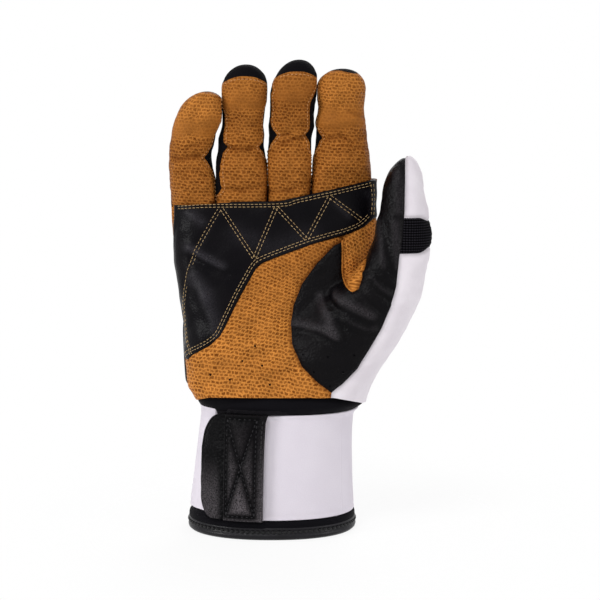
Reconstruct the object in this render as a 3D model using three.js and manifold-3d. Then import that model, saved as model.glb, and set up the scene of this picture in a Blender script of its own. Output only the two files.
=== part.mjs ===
// Right-hand batting glove with a long wrist cuff, standing on its cuff hem.
// Millimetres, +Z up along the hand, the palm faces -Y and the thumb is on the +X side.

import * as THREE from 'three';
import { mergeVertices } from 'three/addons/utils/BufferGeometryUtils.js';
import Module from 'manifold-3d';

const wasm = await Module();
wasm.setup();

// Clearances and walls
const SEAM = 0.3; // air between two panels that are sewn together
const LEATHER = 1.5; // finger, palm and thumb panels with their lining
const OVERLAY = 1.2; // leather patch sewn onto the palm
const NEOPRENE = 2.2; // wrist sleeve
const ELASTIC = 1.3; // wrist strap
const FASTENER = 0.7; // hook pad and loop pad
const TAB = 1.0; // leather of the hook tab
const REINFORCEMENT = 0.8; // leather sewn over the tab

// Fingers: centre and width at the knuckle, the middle joint, the upper crease and the pulp, then the tip
const FINGERS = [
  {
    name: 'little',
    knuckle: { x: -52.8, z: 165.5, width: 22.2 },
    middle: { x: -54.0, z: 187.4, width: 20.6 },
    crease: { x: -52.4, z: 197.5, width: 21.0 },
    pulp: { x: -49.9, z: 206.0, width: 21.2 },
    tip: { x: -46.6, z: 219.6 },
    hood: 2.5,
    gussets: ['right'],
  },
  {
    name: 'ring',
    knuckle: { x: -28.8, z: 167.4, width: 25.0 },
    middle: { x: -29.0, z: 192.3, width: 22.4 },
    crease: { x: -28.0, z: 203.0, width: 20.2 },
    pulp: { x: -27.0, z: 219.0, width: 21.6 },
    tip: { x: -25.9, z: 232.5 },
    hood: 6.0,
    gussets: ['left', 'right'],
  },
  {
    name: 'middle',
    knuckle: { x: -5.3, z: 170.4, width: 20.8 },
    middle: { x: -4.4, z: 197.2, width: 21.4 },
    crease: { x: -4.0, z: 206.0, width: 21.4 },
    pulp: { x: -3.2, z: 219.0, width: 21.4 },
    tip: { x: -0.4, z: 234.8 },
    hood: 6.0,
    gussets: ['left', 'right'],
  },
  {
    name: 'index',
    knuckle: { x: 20.8, z: 177.2, width: 29.2 },
    middle: { x: 20.5, z: 196.7, width: 25.0 },
    crease: { x: 20.0, z: 211.0, width: 22.2 },
    pulp: { x: 20.0, z: 219.5, width: 23.2 },
    tip: { x: 20.4, z: 230.5 },
    hood: 2.5,
    gussets: ['left'],
  },
];

// The relaxed curl that all four fingers share: how far forward each place lies, and how deep it is there
const CURL = {
  knuckle: { y: 0, depth: 25.0 },
  middle: { y: -3.5, depth: 22.5 },
  crease: { y: -8.0, depth: 21.0 },
  pulp: { y: -14.0, depth: 20.5 },
  tip: { y: -19.0 },
};
const SIDE_SEAM = 0.3; // where the finger seams run, as a share of the half depth behind the centre
const EDGE_INSET = 0.8; // how far the finger fronts stop short of the silhouette beside a gusset
const NOTCH_DEPTH = 3.6; // V-notch of the finger fronts at the middle joint
const NOTCH_HEIGHT = 7.0; // half the height of that notch
const EXTENSION = 6.0; // degrees that each joint face slopes away from its hinge, behind the hinge line
const KNUCKLE_FLEX_START = 8.0; // behind the hinge line, where the knuckle's stretch band begins
const MIDDLE_FLEX_START = 5.0;

// Wrist: the sleeve's section where the palm's bottom edge is sewn round it
const WRIST = { z: 66, x: -9.2, y: 0, width: 80.0, depth: 53.4 };
const HEEL_RISE = 8.0; // from the wrist up to the fullest part of the heel of the hand
const SLEEVE_TUCK = 10.0; // how far the sleeve's rim runs up inside the palm

// Palm: horizontal sections from the wrist to the knuckles
const PALM_OVER_SLEEVE = 2 * (SEAM + LEATHER);
const PALM = [
  { ...WRIST, width: WRIST.width + PALM_OVER_SLEEVE, depth: WRIST.depth + PALM_OVER_SLEEVE },
  { z: WRIST.z + HEEL_RISE, x: -11.0, y: 0, width: 90.0, depth: 54.0 },
  { z: 103, x: -12.2, y: 0, width: 90.6, depth: 45.0 },
  { z: 123, x: -12.6, y: 0, width: 94.8, depth: 38.0 },
  { z: 143, x: -12.9, y: 0, width: 98.6, depth: 31.0 },
  { z: 162, x: -13.0, y: 0, width: 101.0, depth: 27.0 },
  { z: 182, x: -13.0, y: 0, width: 101.0, depth: 26.0 },
];
const BACK_SEAM_Y = 6.0; // the back panel begins this far behind the middle of the hand
const PALM_RISE = 5.0; // how much higher the palm's bottom edge lies in front and behind than at its sides

// Thumb: horizontal sections from the heel of the hand to the last joint, then the tip
const THUMB = [
  { z: WRIST.z, x: 12.0, y: -6.0, width: 38.0, depth: 36.0 },
  { z: 80, x: 16.0, y: -11.0, width: 43.0, depth: 36.0 },
  { z: 100, x: 26.0, y: -15.0, width: 48.0, depth: 33.0 },
  { z: 120, x: 36.5, y: -18.0, width: 43.6, depth: 29.0 },
  { z: 132, x: 44.0, y: -19.5, width: 33.0, depth: 26.5 },
  { z: 150, x: 50.3, y: -20.5, width: 27.4, depth: 24.5 },
  { z: 162, x: 50.2, y: -21.5, width: 23.4, depth: 22.5 },
  { z: 173, x: 49.8, y: -22.0, width: 19.2, depth: 19.5 },
];
const THUMB_TIP = { x: 51.2, y: -22.0, z: 189.0 };
const THUMB_JOINT_Z = 151.0;
const THUMB_TURN = -45; // degrees about +Z from a finger's bending direction to the thumb's
const THUMB_EXTENSION = 4.0; // degrees, as EXTENSION
const THUMB_SEAM_Y = -15.0; // the black front reaches back to here on the side that faces the palm
const RIB_HEIGHT = 17.0; // knit insert on the outside of the thumb joint

// Seam lines seen from the front, as x and z
const THENAR_SEAM = [
  [16.0, WRIST.z],
  [9.0, 76.5],
  [0.5, 86.5],
  [-4.0, 97.0],
  [-4.5, 107.0],
  [-3.0, 116.0],
  [1.0, 126.0],
  [8.0, 135.5],
  [17.0, 144.5],
  [21.0, 146.0],
];
const THUMB_SEAM = [
  [51.5, 195.0],
  [51.0, 162.0],
  [50.0, 150.0],
  [48.0, 140.5],
  [46.5, 126.0],
  [43.5, 115.5],
  [39.5, 105.5],
  [34.0, 95.5],
  [28.0, 85.5],
  [20.5, 75.5],
  [16.0, WRIST.z],
];
const WEB_GUSSET = [
  [21.0, 130.0],
  [23.5, 124.5],
  [27.5, 124.5],
  [60.0, 140.0],
  [60.0, 190.0],
  [21.0, 190.0],
];
const OVERLAY_OUTLINE = [
  [-80.0, 84.5],
  [-55.0, 85.0],
  [-44.0, 92.5],
  [-38.5, 98.0],
  [-29.0, 117.0],
  [-23.0, 129.0],
  [-19.5, 133.0],
  [-7.5, 137.5],
  [6.5, 143.0],
  [24.5, 148.0],
  [36.0, 155.0],
  [80.0, 158.0],
  [80.0, 175.5],
  [35.0, 175.5],
  [0.0, 167.6],
  [-10.0, 165.2],
  [-45.0, 164.6],
  [-80.0, 162.6],
];

// Wrist sleeve: horizontal sections from the hem to the rim inside the palm
const SLEEVE = [
  { z: 0, x: -14.2, y: 0, width: 80.4, depth: 58.0 },
  { z: 8, x: -14.2, y: 0, width: 80.0, depth: 57.0 },
  { z: 29, x: -13.4, y: 0, width: 76.6, depth: 54.5 },
  { z: 58, x: -11.5, y: 0, width: 73.2, depth: 52.0 },
  WRIST,
  { z: WRIST.z + SLEEVE_TUCK, x: -10.5, y: 0, width: 82.0, depth: 49.0 },
];
const HEM_HEIGHT = 8.0;
const HEM_FLOOR = 2.6; // thickness of the binding under the sleeve's edge
const HEM_PROUD = 2.0; // how far the binding stands out from the sleeve
const STRAP_BOTTOM = 11.0;
const STRAP_TOP = 61.0;
const FLAP_HINGE_ANGLE = -25; // degrees from +X, about the wrist, where the flap's sewn end lies
const STRAP_END_X = -44.0; // front end of the fixed band
const LOOP_END_X = -27.0; // thumb-side end of the loop pad, where the flap's end meets it
const TAB_LEFT_X = -49.0;
const TAB_RIGHT_X = -17.0;
const TAB_BOTTOM = 10.0;
const TAB_TOP = 62.0;
const TAB_ROUNDING = 10.0; // corner radius of the tab's free end
const REINFORCEMENT_LEFT_X = -37.0;
const HOOK_INSET = 2.0; // bare edge of the tab round its hook pad

// Mesh fineness
const FINGER_SIDES = 16;
const THUMB_SIDES = 18;
const PALM_SIDES = 28;
const SLEEVE_SIDES = 28;
const ROUNDNESS = { finger: 2.3, palm: 2.7, sleeve: 2.2 };
const CORNER_STEPS = 4;
const DOME_ANGLES = [32, 58, 80];
const FAR = 150; // beyond every side of the glove, for cutting solids
const HIGH = 300; // above the fingertips
const OVERSHOOT = 1; // how far a cutting solid runs past what it cuts
const MERGE = 1e-4; // points closer than this are one
const SHARPEST_MITRE = 0.3; // cosine at which a mitred corner stops growing

const COLOURS = {
  tan: [0xa6692f, 0.6],
  black: [0x17141a, 0.5],
  knit: [0x121115, 0.9],
  white: [0xe2dde2, 0.55],
  elastic: [0xe0dbe2, 0.85],
  neoprene: [0x0c0b0f, 0.85],
  hook: [0x2a272c, 0.8],
};

// Solids from three.js geometry

function solid(geometry) {
  const bare = new THREE.BufferGeometry();
  bare.setAttribute('position', geometry.getAttribute('position'));
  bare.setIndex(geometry.index);
  const merged = mergeVertices(bare, MERGE);
  return new wasm.Manifold(
    new wasm.Mesh({
      numProp: 3,
      vertProperties: new Float32Array(merged.getAttribute('position').array),
      triVerts: new Uint32Array(merged.index.array),
    }),
  );
}

function geometryOf(body) {
  const mesh = body.getMesh();
  const geometry = new THREE.BufferGeometry();
  geometry.setAttribute('position', new THREE.BufferAttribute(new Float32Array(mesh.vertProperties), 3));
  geometry.setIndex(new THREE.BufferAttribute(new Uint32Array(mesh.triVerts), 1));
  return geometry;
}

// The largest of a cut's pieces, without the crumbs that a cut can leave
function largest(body) {
  return body.decompose().reduce((a, b) => (b.volume() > a.volume() ? b : a));
}

function prism(points, depth, basis) {
  const shape = new THREE.Shape(points.map(([u, v]) => new THREE.Vector2(u, v)));
  const geometry = new THREE.ExtrudeGeometry(shape, { depth, bevelEnabled: false });
  return solid(geometry.applyMatrix4(basis));
}

// A front view outline, as x and z, cut through from y = front to y = back
function frontPrism(points, front = -FAR, back = FAR) {
  const basis = new THREE.Matrix4().makeBasis(
    new THREE.Vector3(1, 0, 0),
    new THREE.Vector3(0, 0, 1),
    new THREE.Vector3(0, -1, 0),
  );
  return prism(points, back - front, basis.setPosition(0, back, 0));
}

// A side view outline, as y and z, cut through from x = left to x = right
function sidePrism(points, left = -FAR, right = FAR) {
  const basis = new THREE.Matrix4().makeBasis(
    new THREE.Vector3(0, 1, 0),
    new THREE.Vector3(0, 0, 1),
    new THREE.Vector3(1, 0, 0),
  );
  return prism(points, right - left, basis.setPosition(left, 0, 0));
}

// A top view outline, as x and y, from z = bottom to z = top
function topPrism(points, bottom, top) {
  return prism(points, top - bottom, new THREE.Matrix4().setPosition(0, 0, bottom));
}

function block(left, right, front, back, bottom, top) {
  return topPrism([[left, front], [right, front], [right, back], [left, back]], bottom, top);
}

// An outline with each of its edges moved out by a margin, and the corners mitred
function grown(points, margin) {
  const loop = points.map(([u, v]) => new THREE.Vector2(u, v));
  const sign = THREE.ShapeUtils.isClockWise(loop) ? -1 : 1;
  return loop.map((p, i) => {
    const before = p.clone().sub(loop.at(i - 1)).normalize();
    const after = loop[(i + 1) % loop.length].clone().sub(p).normalize();
    const normal = new THREE.Vector2(before.y + after.y, -before.x - after.x).normalize();
    const reach = margin / Math.max(normal.x * before.y - normal.y * before.x, SHARPEST_MITRE);
    return [p.x + sign * normal.x * reach, p.y + sign * normal.y * reach];
  });
}

// Tubes: their skin runs straight from one horizontal section to the next

function makeTube(stations, settings) {
  const rows = stations.map(({ z, x, y, width, depth }) => {
    return { z, x, y, halfWidth: width / 2, halfDepth: depth / 2 };
  });
  return { rows, ...settings };
}

function sectionAt(tube, z) {
  const above = tube.rows.findIndex((row) => row.z > z);
  if (above === 0) return { ...tube.rows[0], z };
  if (above < 0) return { ...tube.rows.at(-1), z };
  const [low, high] = [tube.rows[above - 1], tube.rows[above]];
  const t = (z - low.z) / (high.z - low.z);
  const mixed = Object.keys(low).map((key) => [key, THREE.MathUtils.lerp(low[key], high[key], t)]);
  return Object.fromEntries(mixed);
}

// How far a section's skin lies from its centre in a given direction
function reachOf(section, roundness, across, along) {
  const [u, v] = [across / section.halfWidth, along / section.halfDepth];
  return (Math.abs(u) ** roundness + Math.abs(v) ** roundness) ** (-1 / roundness);
}

function ring(tube, section, grow) {
  const power = 2 / tube.roundness;
  const bend = (v) => Math.sign(v) * Math.abs(v) ** power;
  return Array.from({ length: tube.sides }, (_, k) => {
    const angle = (2 * Math.PI * k) / tube.sides;
    return new THREE.Vector3(
      section.x + (section.halfWidth + grow) * bend(Math.cos(angle)),
      section.y + (section.halfDepth + grow) * bend(Math.sin(angle)),
      section.z,
    );
  });
}

// Rings that close the end of a finger or thumb as a dome
function domeRings(tube, grow) {
  const base = tube.rows.at(-1);
  const height = tube.tip.z + grow - base.z;
  return DOME_ANGLES.map((angle) => {
    const radians = THREE.MathUtils.degToRad(angle);
    const [rise, shrink] = [Math.sin(radians), Math.cos(radians)];
    return ring(
      tube,
      {
        x: THREE.MathUtils.lerp(base.x, tube.tip.x, rise),
        y: THREE.MathUtils.lerp(base.y, tube.tip.y, rise),
        z: base.z + height * rise,
        halfWidth: (base.halfWidth + grow) * shrink,
        halfDepth: (base.halfDepth + grow) * shrink,
      },
      0,
    );
  });
}

function loft(rings) {
  const sides = rings[0].length;
  const points = rings.flat();
  const index = [];
  for (let r = 0; r + 1 < rings.length; r++) {
    for (let k = 0; k < sides; k++) {
      const [a, b] = [r * sides + k, r * sides + ((k + 1) % sides)];
      index.push(a, b, b + sides, a, b + sides, a + sides);
    }
  }
  for (const [r, up] of [[0, false], [rings.length - 1, true]]) {
    const middle = rings[r].reduce((sum, p) => sum.add(p), new THREE.Vector3()).divideScalar(sides);
    const centre = points.push(middle) - 1;
    for (let k = 0; k < sides; k++) {
      const [a, b] = [r * sides + k, r * sides + ((k + 1) % sides)];
      index.push(centre, up ? a : b, up ? b : a);
    }
  }
  const geometry = new THREE.BufferGeometry().setFromPoints(points);
  geometry.setIndex(index);
  return solid(geometry);
}

// The tube's solid between two heights, with its skin moved out by grow; one with a tip ends in its dome
function tubeSolid(tube, grow, bottom, top = tube.rows.at(-1).z) {
  const between = tube.rows.map((row) => row.z).filter((z) => z > bottom && z < top);
  const rings = [bottom, ...between, top].map((z) => ring(tube, sectionAt(tube, z), grow));
  return loft(tube.tip ? [...rings, ...domeRings(tube, grow)] : rings);
}

function tubeShell(tube, wall, bottom, top) {
  const inside = tubeSolid(tube, -wall, bottom - OVERSHOOT, top && top + OVERSHOOT);
  return tubeSolid(tube, 0, bottom, top).subtract(inside);
}

// Hinge faces: both slope away from the hinge line, which lies on the palm side of the joint

function hingeRegion(hinge, points, left = -FAR, right = FAR) {
  const turned = new THREE.Matrix4().makeRotationZ(THREE.MathUtils.degToRad(hinge.turn));
  turned.setPosition(hinge.at);
  return sidePrism(points, left, right).transform(turned.elements);
}

function slopeRise(hinge, reach) {
  return Math.tan(THREE.MathUtils.degToRad(hinge.extension)) * reach;
}

function aboveHinge(hinge, margin) {
  const far = margin + slopeRise(hinge, FAR);
  return hingeRegion(hinge, [[-FAR, margin], [0, margin], [FAR, far], [FAR, HIGH], [-FAR, HIGH]]);
}

function belowHinge(hinge, margin) {
  const far = margin + slopeRise(hinge, FAR);
  return hingeRegion(hinge, [[-FAR, -HIGH], [FAR, -HIGH], [FAR, -far], [0, -margin], [-FAR, -margin]]);
}

// All that is not below the hinge, over a stretch of the hinge line
function pastHinge(hinge, margin, left, right) {
  const far = margin + slopeRise(hinge, FAR);
  const outline = [[-FAR, -margin], [0, -margin], [FAR, -far], [FAR, FAR], [-FAR, FAR]];
  return hingeRegion(hinge, outline, left, right);
}

// The wedge between the two faces, from a distance behind the hinge line
function withinHinge(hinge, start, margin) {
  const near = margin + slopeRise(hinge, start);
  const far = margin + slopeRise(hinge, FAR);
  return hingeRegion(hinge, [[start, -near], [FAR, -far], [FAR, far], [start, near]]);
}

function hingeOf(tube, z, turn, extension) {
  const section = sectionAt(tube, z);
  const radians = THREE.MathUtils.degToRad(turn);
  const [across, forward] = [Math.sin(radians), -Math.cos(radians)];
  const reach = reachOf(section, tube.roundness, across, forward);
  const at = new THREE.Vector3(section.x + across * reach, section.y + forward * reach, z);
  return { at, turn, extension };
}

// The object, as groups that sit on their hinge lines

const glove = new THREE.Group();

function bodyGroup(parent, hinge) {
  const group = new THREE.Group();
  const origin = parent.userData.origin ?? new THREE.Vector3();
  group.position.copy(hinge.at).sub(origin);
  group.userData.origin = hinge.at;
  parent.add(group);
  return group;
}

function place(parent, name, body, finish) {
  const [color, roughness] = COLOURS[finish];
  const material = new THREE.MeshStandardMaterial({ color, roughness, metalness: 0 });
  const geometry = geometryOf(largest(body));
  const origin = parent.userData.origin ?? new THREE.Vector3();
  geometry.translate(-origin.x, -origin.y, -origin.z);
  const mesh = new THREE.Mesh(geometry, material);
  mesh.name = name;
  parent.add(mesh);
}

// Fingers

function fingerTube(finger) {
  const places = ['knuckle', 'middle', 'crease', 'pulp'];
  const stations = places.map((p) => ({ ...finger[p], ...CURL[p] }));
  const tip = { ...finger.tip, ...CURL.tip };
  return makeTube(stations, { tip, sides: FINGER_SIDES, roundness: ROUNDNESS.finger });
}

// Heights at which the outline of a finger front has its corners
function frontLevels(finger) {
  const { knuckle, middle, pulp, tip } = finger;
  const notch = [middle.z - NOTCH_HEIGHT, middle.z, middle.z + NOTCH_HEIGHT];
  return [knuckle.z - NOTCH_HEIGHT, knuckle.z, ...notch, pulp.z, tip.z - finger.hood];
}

// The tan front seen from the front: it stops short of a gusset's side, and wraps round the other side
function fingerFront(finger, tube) {
  const edge = (side, sign) =>
    frontLevels(finger).map((z) => {
      const section = sectionAt(tube, z);
      const inset = z === finger.middle.z ? NOTCH_DEPTH : EDGE_INSET;
      const stop = finger.gussets.includes(side) ? -inset : LEATHER;
      return [section.x + sign * (section.halfWidth + stop), z];
    });
  return [...edge('right', 1), ...edge('left', -1).reverse()];
}

// The back seen from the side: all behind the side seam, and the hood over the tip
function fingerBack(finger, tube) {
  const seam = frontLevels(finger)
    .slice(0, -1)
    .map((z) => {
      const section = sectionAt(tube, z);
      return [section.y + SIDE_SEAM * section.halfDepth, z];
    });
  const bottom = seam[0][1];
  const hood = finger.tip.z - finger.hood;
  return [...seam, [tube.tip.y, hood], [-FAR, hood], [-FAR, HIGH], [FAR, HIGH], [FAR, bottom]];
}

function buildFingerLength(group, finger, tube, length, level) {
  const back = fingerBack(finger, tube);
  const front = fingerFront(finger, tube);
  place(group, `${finger.name}_back_${level}`, length.intersect(sidePrism(back)), 'knit');
  const rest = length.subtract(sidePrism(grown(back, SEAM)));
  place(group, `${finger.name}_front_${level}`, rest.intersect(frontPrism(front)), 'tan');
  const sides = rest.subtract(frontPrism(grown(front, SEAM)));
  const middle = sectionAt(tube, finger.middle.z).x;
  for (const side of finger.gussets) {
    const [left, right] = side === 'left' ? [-FAR, middle] : [middle, FAR];
    const half = block(left, right, -FAR, FAR, 0, HIGH);
    place(group, `${finger.name}_${side}_gusset_${level}`, sides.intersect(half), 'knit');
  }
}

function buildFinger(finger) {
  const tube = fingerTube(finger);
  const knuckle = hingeOf(tube, finger.knuckle.z, 0, EXTENSION);
  const middle = hingeOf(tube, finger.middle.z, 0, EXTENSION);
  const shell = tubeShell(tube, LEATHER, finger.knuckle.z - NOTCH_HEIGHT);
  const lower = bodyGroup(glove, knuckle);
  const upper = bodyGroup(lower, middle);
  const above = shell.intersect(aboveHinge(knuckle, SEAM / 2));
  buildFingerLength(lower, finger, tube, above.intersect(belowHinge(middle, SEAM / 2)), 'lower');
  buildFingerLength(upper, finger, tube, above.intersect(aboveHinge(middle, SEAM / 2)), 'upper');
  const flex = (hinge, start) => shell.intersect(withinHinge(hinge, start, -SEAM / 2));
  place(glove, `${finger.name}_knuckle_flex`, flex(knuckle, KNUCKLE_FLEX_START), 'knit');
  place(lower, `${finger.name}_middle_flex`, flex(middle, MIDDLE_FLEX_START), 'knit');
  return knuckle;
}

// Hand: palm and thumb base as one hollow skin, cut into its panels along the seams

const palmTube = makeTube(PALM, { sides: PALM_SIDES, roundness: ROUNDNESS.palm });
const thumbTube = makeTube(THUMB, { tip: THUMB_TIP, sides: THUMB_SIDES, roundness: ROUNDNESS.finger });

// The finger hinges, with the middles of the gaps between them as the ends of their stretches
function knuckleStretches(knuckles) {
  const edges = FINGERS.map((finger, i) => {
    const next = FINGERS[i + 1];
    if (!next) return FAR;
    const right = finger.knuckle.x + finger.knuckle.width / 2;
    return (right + next.knuckle.x - next.knuckle.width / 2) / 2;
  });
  return knuckles.map((hinge, i) => {
    const left = (i ? edges[i - 1] : -FAR) - SEAM / 2;
    const right = edges[i] + SEAM / 2;
    return pastHinge(hinge, SEAM / 2, left - hinge.at.x, right - hinge.at.x);
  });
}

function thumbFront(margin) {
  const [left, right] = [THENAR_SEAM.at(-1)[0], THUMB_SEAM[0][0]];
  const outline = [...THENAR_SEAM, [left, HIGH], [right, HIGH], ...THUMB_SEAM];
  return frontPrism(grown(outline, margin), -FAR, THUMB_SEAM_Y + margin);
}

function ribRegion(margin) {
  const half = RIB_HEIGHT / 2 + margin;
  const left = sectionAt(thumbTube, THUMB_JOINT_Z).x - margin;
  return block(left, FAR, -FAR, FAR, THUMB_JOINT_Z - half, THUMB_JOINT_Z + half);
}

function buildHand(knuckles, thumbHinge) {
  const bottom = PALM[0].z;
  const palm = tubeSolid(palmTube, 0, bottom);
  const thumb = tubeSolid(thumbTube, 0, bottom);
  const inside = tubeSolid(palmTube, -LEATHER, bottom - OVERSHOOT, PALM.at(-1).z + OVERSHOOT);
  const hollow = inside.add(tubeSolid(thumbTube, -LEATHER, bottom - OVERSHOOT));
  const thumbTop = pastHinge(thumbHinge, SEAM / 2, -FAR, FAR).intersect(tubeSolid(thumbTube, SEAM, bottom));
  const edge = PALM[0].depth / 2;
  const [side, middle] = [bottom + SEAM, bottom + SEAM + PALM_RISE];
  const arch = sidePrism([[-edge, 0], [edge, 0], [edge, middle], [0, side], [-edge, middle]]);
  let rest = palm.add(thumb).subtract(hollow).subtract(thumbTop).subtract(arch);
  for (const stretch of knuckleStretches(knuckles)) rest = rest.subtract(stretch);

  const backRegion = (margin) => block(-FAR, FAR, BACK_SEAM_Y - margin, FAR, 0, HIGH);
  const webRegion = (margin) =>
    frontPrism(grown(WEB_GUSSET, margin)).intersect(tubeSolid(palmTube, margin, bottom, PALM.at(-1).z));
  const whiteRegion = (margin) => {
    const outline = [...THUMB_SEAM, [FAR, THUMB_SEAM.at(-1)[1]], [FAR, HIGH], [THUMB_SEAM[0][0], HIGH]];
    const right = frontPrism(grown(outline, margin));
    const behind = block(WEB_GUSSET[0][0], FAR, THUMB_SEAM_Y - margin, FAR, 0, HIGH);
    return right.add(behind.intersect(tubeSolid(thumbTube, margin, bottom)));
  };
  const carve = (name, region, finish) => {
    place(glove, name, rest.intersect(region(0)), finish);
    rest = rest.subtract(region(SEAM));
  };
  carve('back_panel', backRegion, 'white');
  carve('thumb_web_gusset', webRegion, 'tan');
  carve('thenar_panel', thumbFront, 'black');
  rest = rest.subtract(ribRegion(SEAM));
  carve('thumb_base_panel', whiteRegion, 'white');
  place(glove, 'palm_panel', rest, 'tan');
}

function buildOverlay(knuckles) {
  const [bottom, top] = [PALM[0].z, PALM.at(-1).z];
  const outer = tubeSolid(palmTube, SEAM + OVERLAY, bottom, top);
  let patch = outer.subtract(tubeSolid(palmTube, SEAM, bottom - OVERSHOOT, top + OVERSHOOT));
  patch = patch.intersect(frontPrism(OVERLAY_OUTLINE, -FAR, BACK_SEAM_Y));
  for (const stretch of knuckleStretches(knuckles)) patch = patch.subtract(stretch);
  place(glove, 'palm_overlay', patch.subtract(tubeSolid(thumbTube, SEAM, bottom)), 'black');
}

function buildThumb(hinge) {
  const shell = tubeShell(thumbTube, LEATHER, THUMB_JOINT_Z - RIB_HEIGHT);
  const group = bodyGroup(glove, hinge);
  const upper = shell.intersect(aboveHinge(hinge, SEAM / 2));
  place(group, 'thumb_front', upper.intersect(thumbFront(0)), 'black');
  place(group, 'thumb_back', upper.subtract(thumbFront(SEAM)).subtract(ribRegion(SEAM)), 'white');
  place(glove, 'thumb_rib_insert', shell.intersect(ribRegion(0)).subtract(thumbFront(SEAM)), 'knit');
}

// Cuff: sleeve, hem binding and the layers of the strap

const sleeveTube = makeTube(SLEEVE, { sides: SLEEVE_SIDES, roundness: ROUNDNESS.sleeve });

// A layer wrapped round the sleeve, from one height above its skin to another
function wrapped(inner, outer, bottom, top) {
  const inside = tubeSolid(sleeveTube, inner, bottom - OVERSHOOT, top + OVERSHOOT);
  return tubeSolid(sleeveTube, outer, bottom, top).subtract(inside);
}

function buildCuff() {
  const top = SLEEVE.at(-1).z;
  place(glove, 'wrist_sleeve', tubeShell(sleeveTube, NEOPRENE, HEM_FLOOR + SEAM, top), 'neoprene');
  const floor = tubeSolid(sleeveTube, HEM_PROUD, 0, HEM_HEIGHT);
  const seat = tubeSolid(sleeveTube, SEAM, HEM_FLOOR, HEM_HEIGHT + OVERSHOOT);
  const mouth = tubeSolid(sleeveTube, -NEOPRENE, -OVERSHOOT, HEM_HEIGHT + OVERSHOOT);
  place(glove, 'hem_binding', floor.subtract(seat).subtract(mouth), 'neoprene');
}

// The flap turns on a line just outside the strap, where its sewn end lies
function flapHinge() {
  const section = sectionAt(sleeveTube, STRAP_BOTTOM);
  const radians = THREE.MathUtils.degToRad(FLAP_HINGE_ANGLE);
  const [across, along] = [Math.cos(radians), Math.sin(radians)];
  const reach = reachOf(section, ROUNDNESS.sleeve, across, along) + 2 * SEAM + ELASTIC;
  const square = new THREE.Vector2(across / section.halfWidth ** 2, along / section.halfDepth ** 2);
  square.normalize();
  const height = (STRAP_BOTTOM + STRAP_TOP) / 2;
  return { at: new THREE.Vector3(section.x + across * reach, section.y + along * reach, height), square };
}

function tabHinge() {
  const section = sectionAt(sleeveTube, STRAP_BOTTOM);
  const across = (TAB_RIGHT_X - section.x) / section.halfWidth;
  const front = section.halfDepth * (1 - Math.abs(across) ** ROUNDNESS.sleeve) ** (1 / ROUNDNESS.sleeve);
  return { at: new THREE.Vector3(TAB_RIGHT_X, -front - 2 * SEAM - ELASTIC, (TAB_BOTTOM + TAB_TOP) / 2) };
}

// The tab seen from the front: a strip with its free end rounded
function tabOutline() {
  const shape = new THREE.Shape();
  const [left, right] = [TAB_LEFT_X + TAB_ROUNDING, TAB_RIGHT_X];
  const [bottom, top] = [TAB_BOTTOM + TAB_ROUNDING, TAB_TOP - TAB_ROUNDING];
  shape.moveTo(right, TAB_BOTTOM);
  shape.lineTo(right, TAB_TOP);
  shape.absarc(left, top, TAB_ROUNDING, Math.PI / 2, Math.PI, false);
  shape.absarc(left, bottom, TAB_ROUNDING, Math.PI, 1.5 * Math.PI, false);
  return shape.getPoints(CORNER_STEPS).map((p) => [p.x, p.y]);
}

function buildStrap() {
  const hinge = flapHinge();
  const [x, y] = [hinge.at.x, hinge.at.y];
  const inside = [x - hinge.square.x * y / hinge.square.y, 0];
  const outside = [x + hinge.square.x * FAR, y + hinge.square.y * FAR];
  const band = wrapped(SEAM, SEAM + ELASTIC, STRAP_BOTTOM, STRAP_TOP);
  const frontFrom = (left) => [inside, [left, 0], [left, -FAR], [outside[0], -FAR], outside];
  const loopRegion = [
    [STRAP_END_X + SEAM, -FAR],
    [LOOP_END_X - SEAM, -FAR],
    [LOOP_END_X - SEAM, 0],
    [STRAP_END_X + SEAM, 0],
  ];
  const cut = (region) => topPrism(region, 0, FAR);

  const flap = bodyGroup(glove, hinge);
  place(glove, 'strap_band', band.subtract(cut(grown(frontFrom(STRAP_END_X), SEAM))), 'elastic');
  place(glove, 'loop_pad', band.intersect(cut(loopRegion)), 'hook');
  place(flap, 'strap_flap', band.intersect(cut(frontFrom(LOOP_END_X))), 'elastic');
  buildTab(flap);
}

function buildTab(flap) {
  const tab = bodyGroup(flap, tabHinge());
  const outline = tabOutline();
  const hookFloor = 2 * SEAM + ELASTIC;
  const tabFloor = hookFloor + FASTENER + SEAM;
  const topFloor = tabFloor + TAB + SEAM;
  const layer = (inner, thickness) => wrapped(inner, inner + thickness, TAB_BOTTOM, TAB_TOP);
  const front = (points) => frontPrism(points, -FAR, 0);
  const leather = [
    [REINFORCEMENT_LEFT_X, TAB_BOTTOM],
    [TAB_RIGHT_X, TAB_BOTTOM],
    [TAB_RIGHT_X, TAB_TOP],
    [REINFORCEMENT_LEFT_X, TAB_TOP],
  ];
  place(tab, 'hook_pad', layer(hookFloor, FASTENER).intersect(front(grown(outline, -HOOK_INSET))), 'hook');
  place(tab, 'strap_tab', layer(tabFloor, TAB).intersect(front(outline)), 'black');
  place(tab, 'tab_reinforcement', layer(topFloor, REINFORCEMENT).intersect(front(leather)), 'black');
}

const knuckles = FINGERS.map(buildFinger);
const thumbHinge = hingeOf(thumbTube, THUMB_JOINT_Z, THUMB_TURN, THUMB_EXTENSION);
buildHand(knuckles, thumbHinge);
buildOverlay(knuckles);
buildThumb(thumbHinge);
buildCuff();
buildStrap();

// The origin is under the middle of the glove, on the surface that it stands on
const box = new THREE.Box3().setFromObject(glove);
const middle = box.getCenter(new THREE.Vector3());
glove.position.set(-middle.x, -middle.y, -box.min.z);

export default glove;
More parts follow.
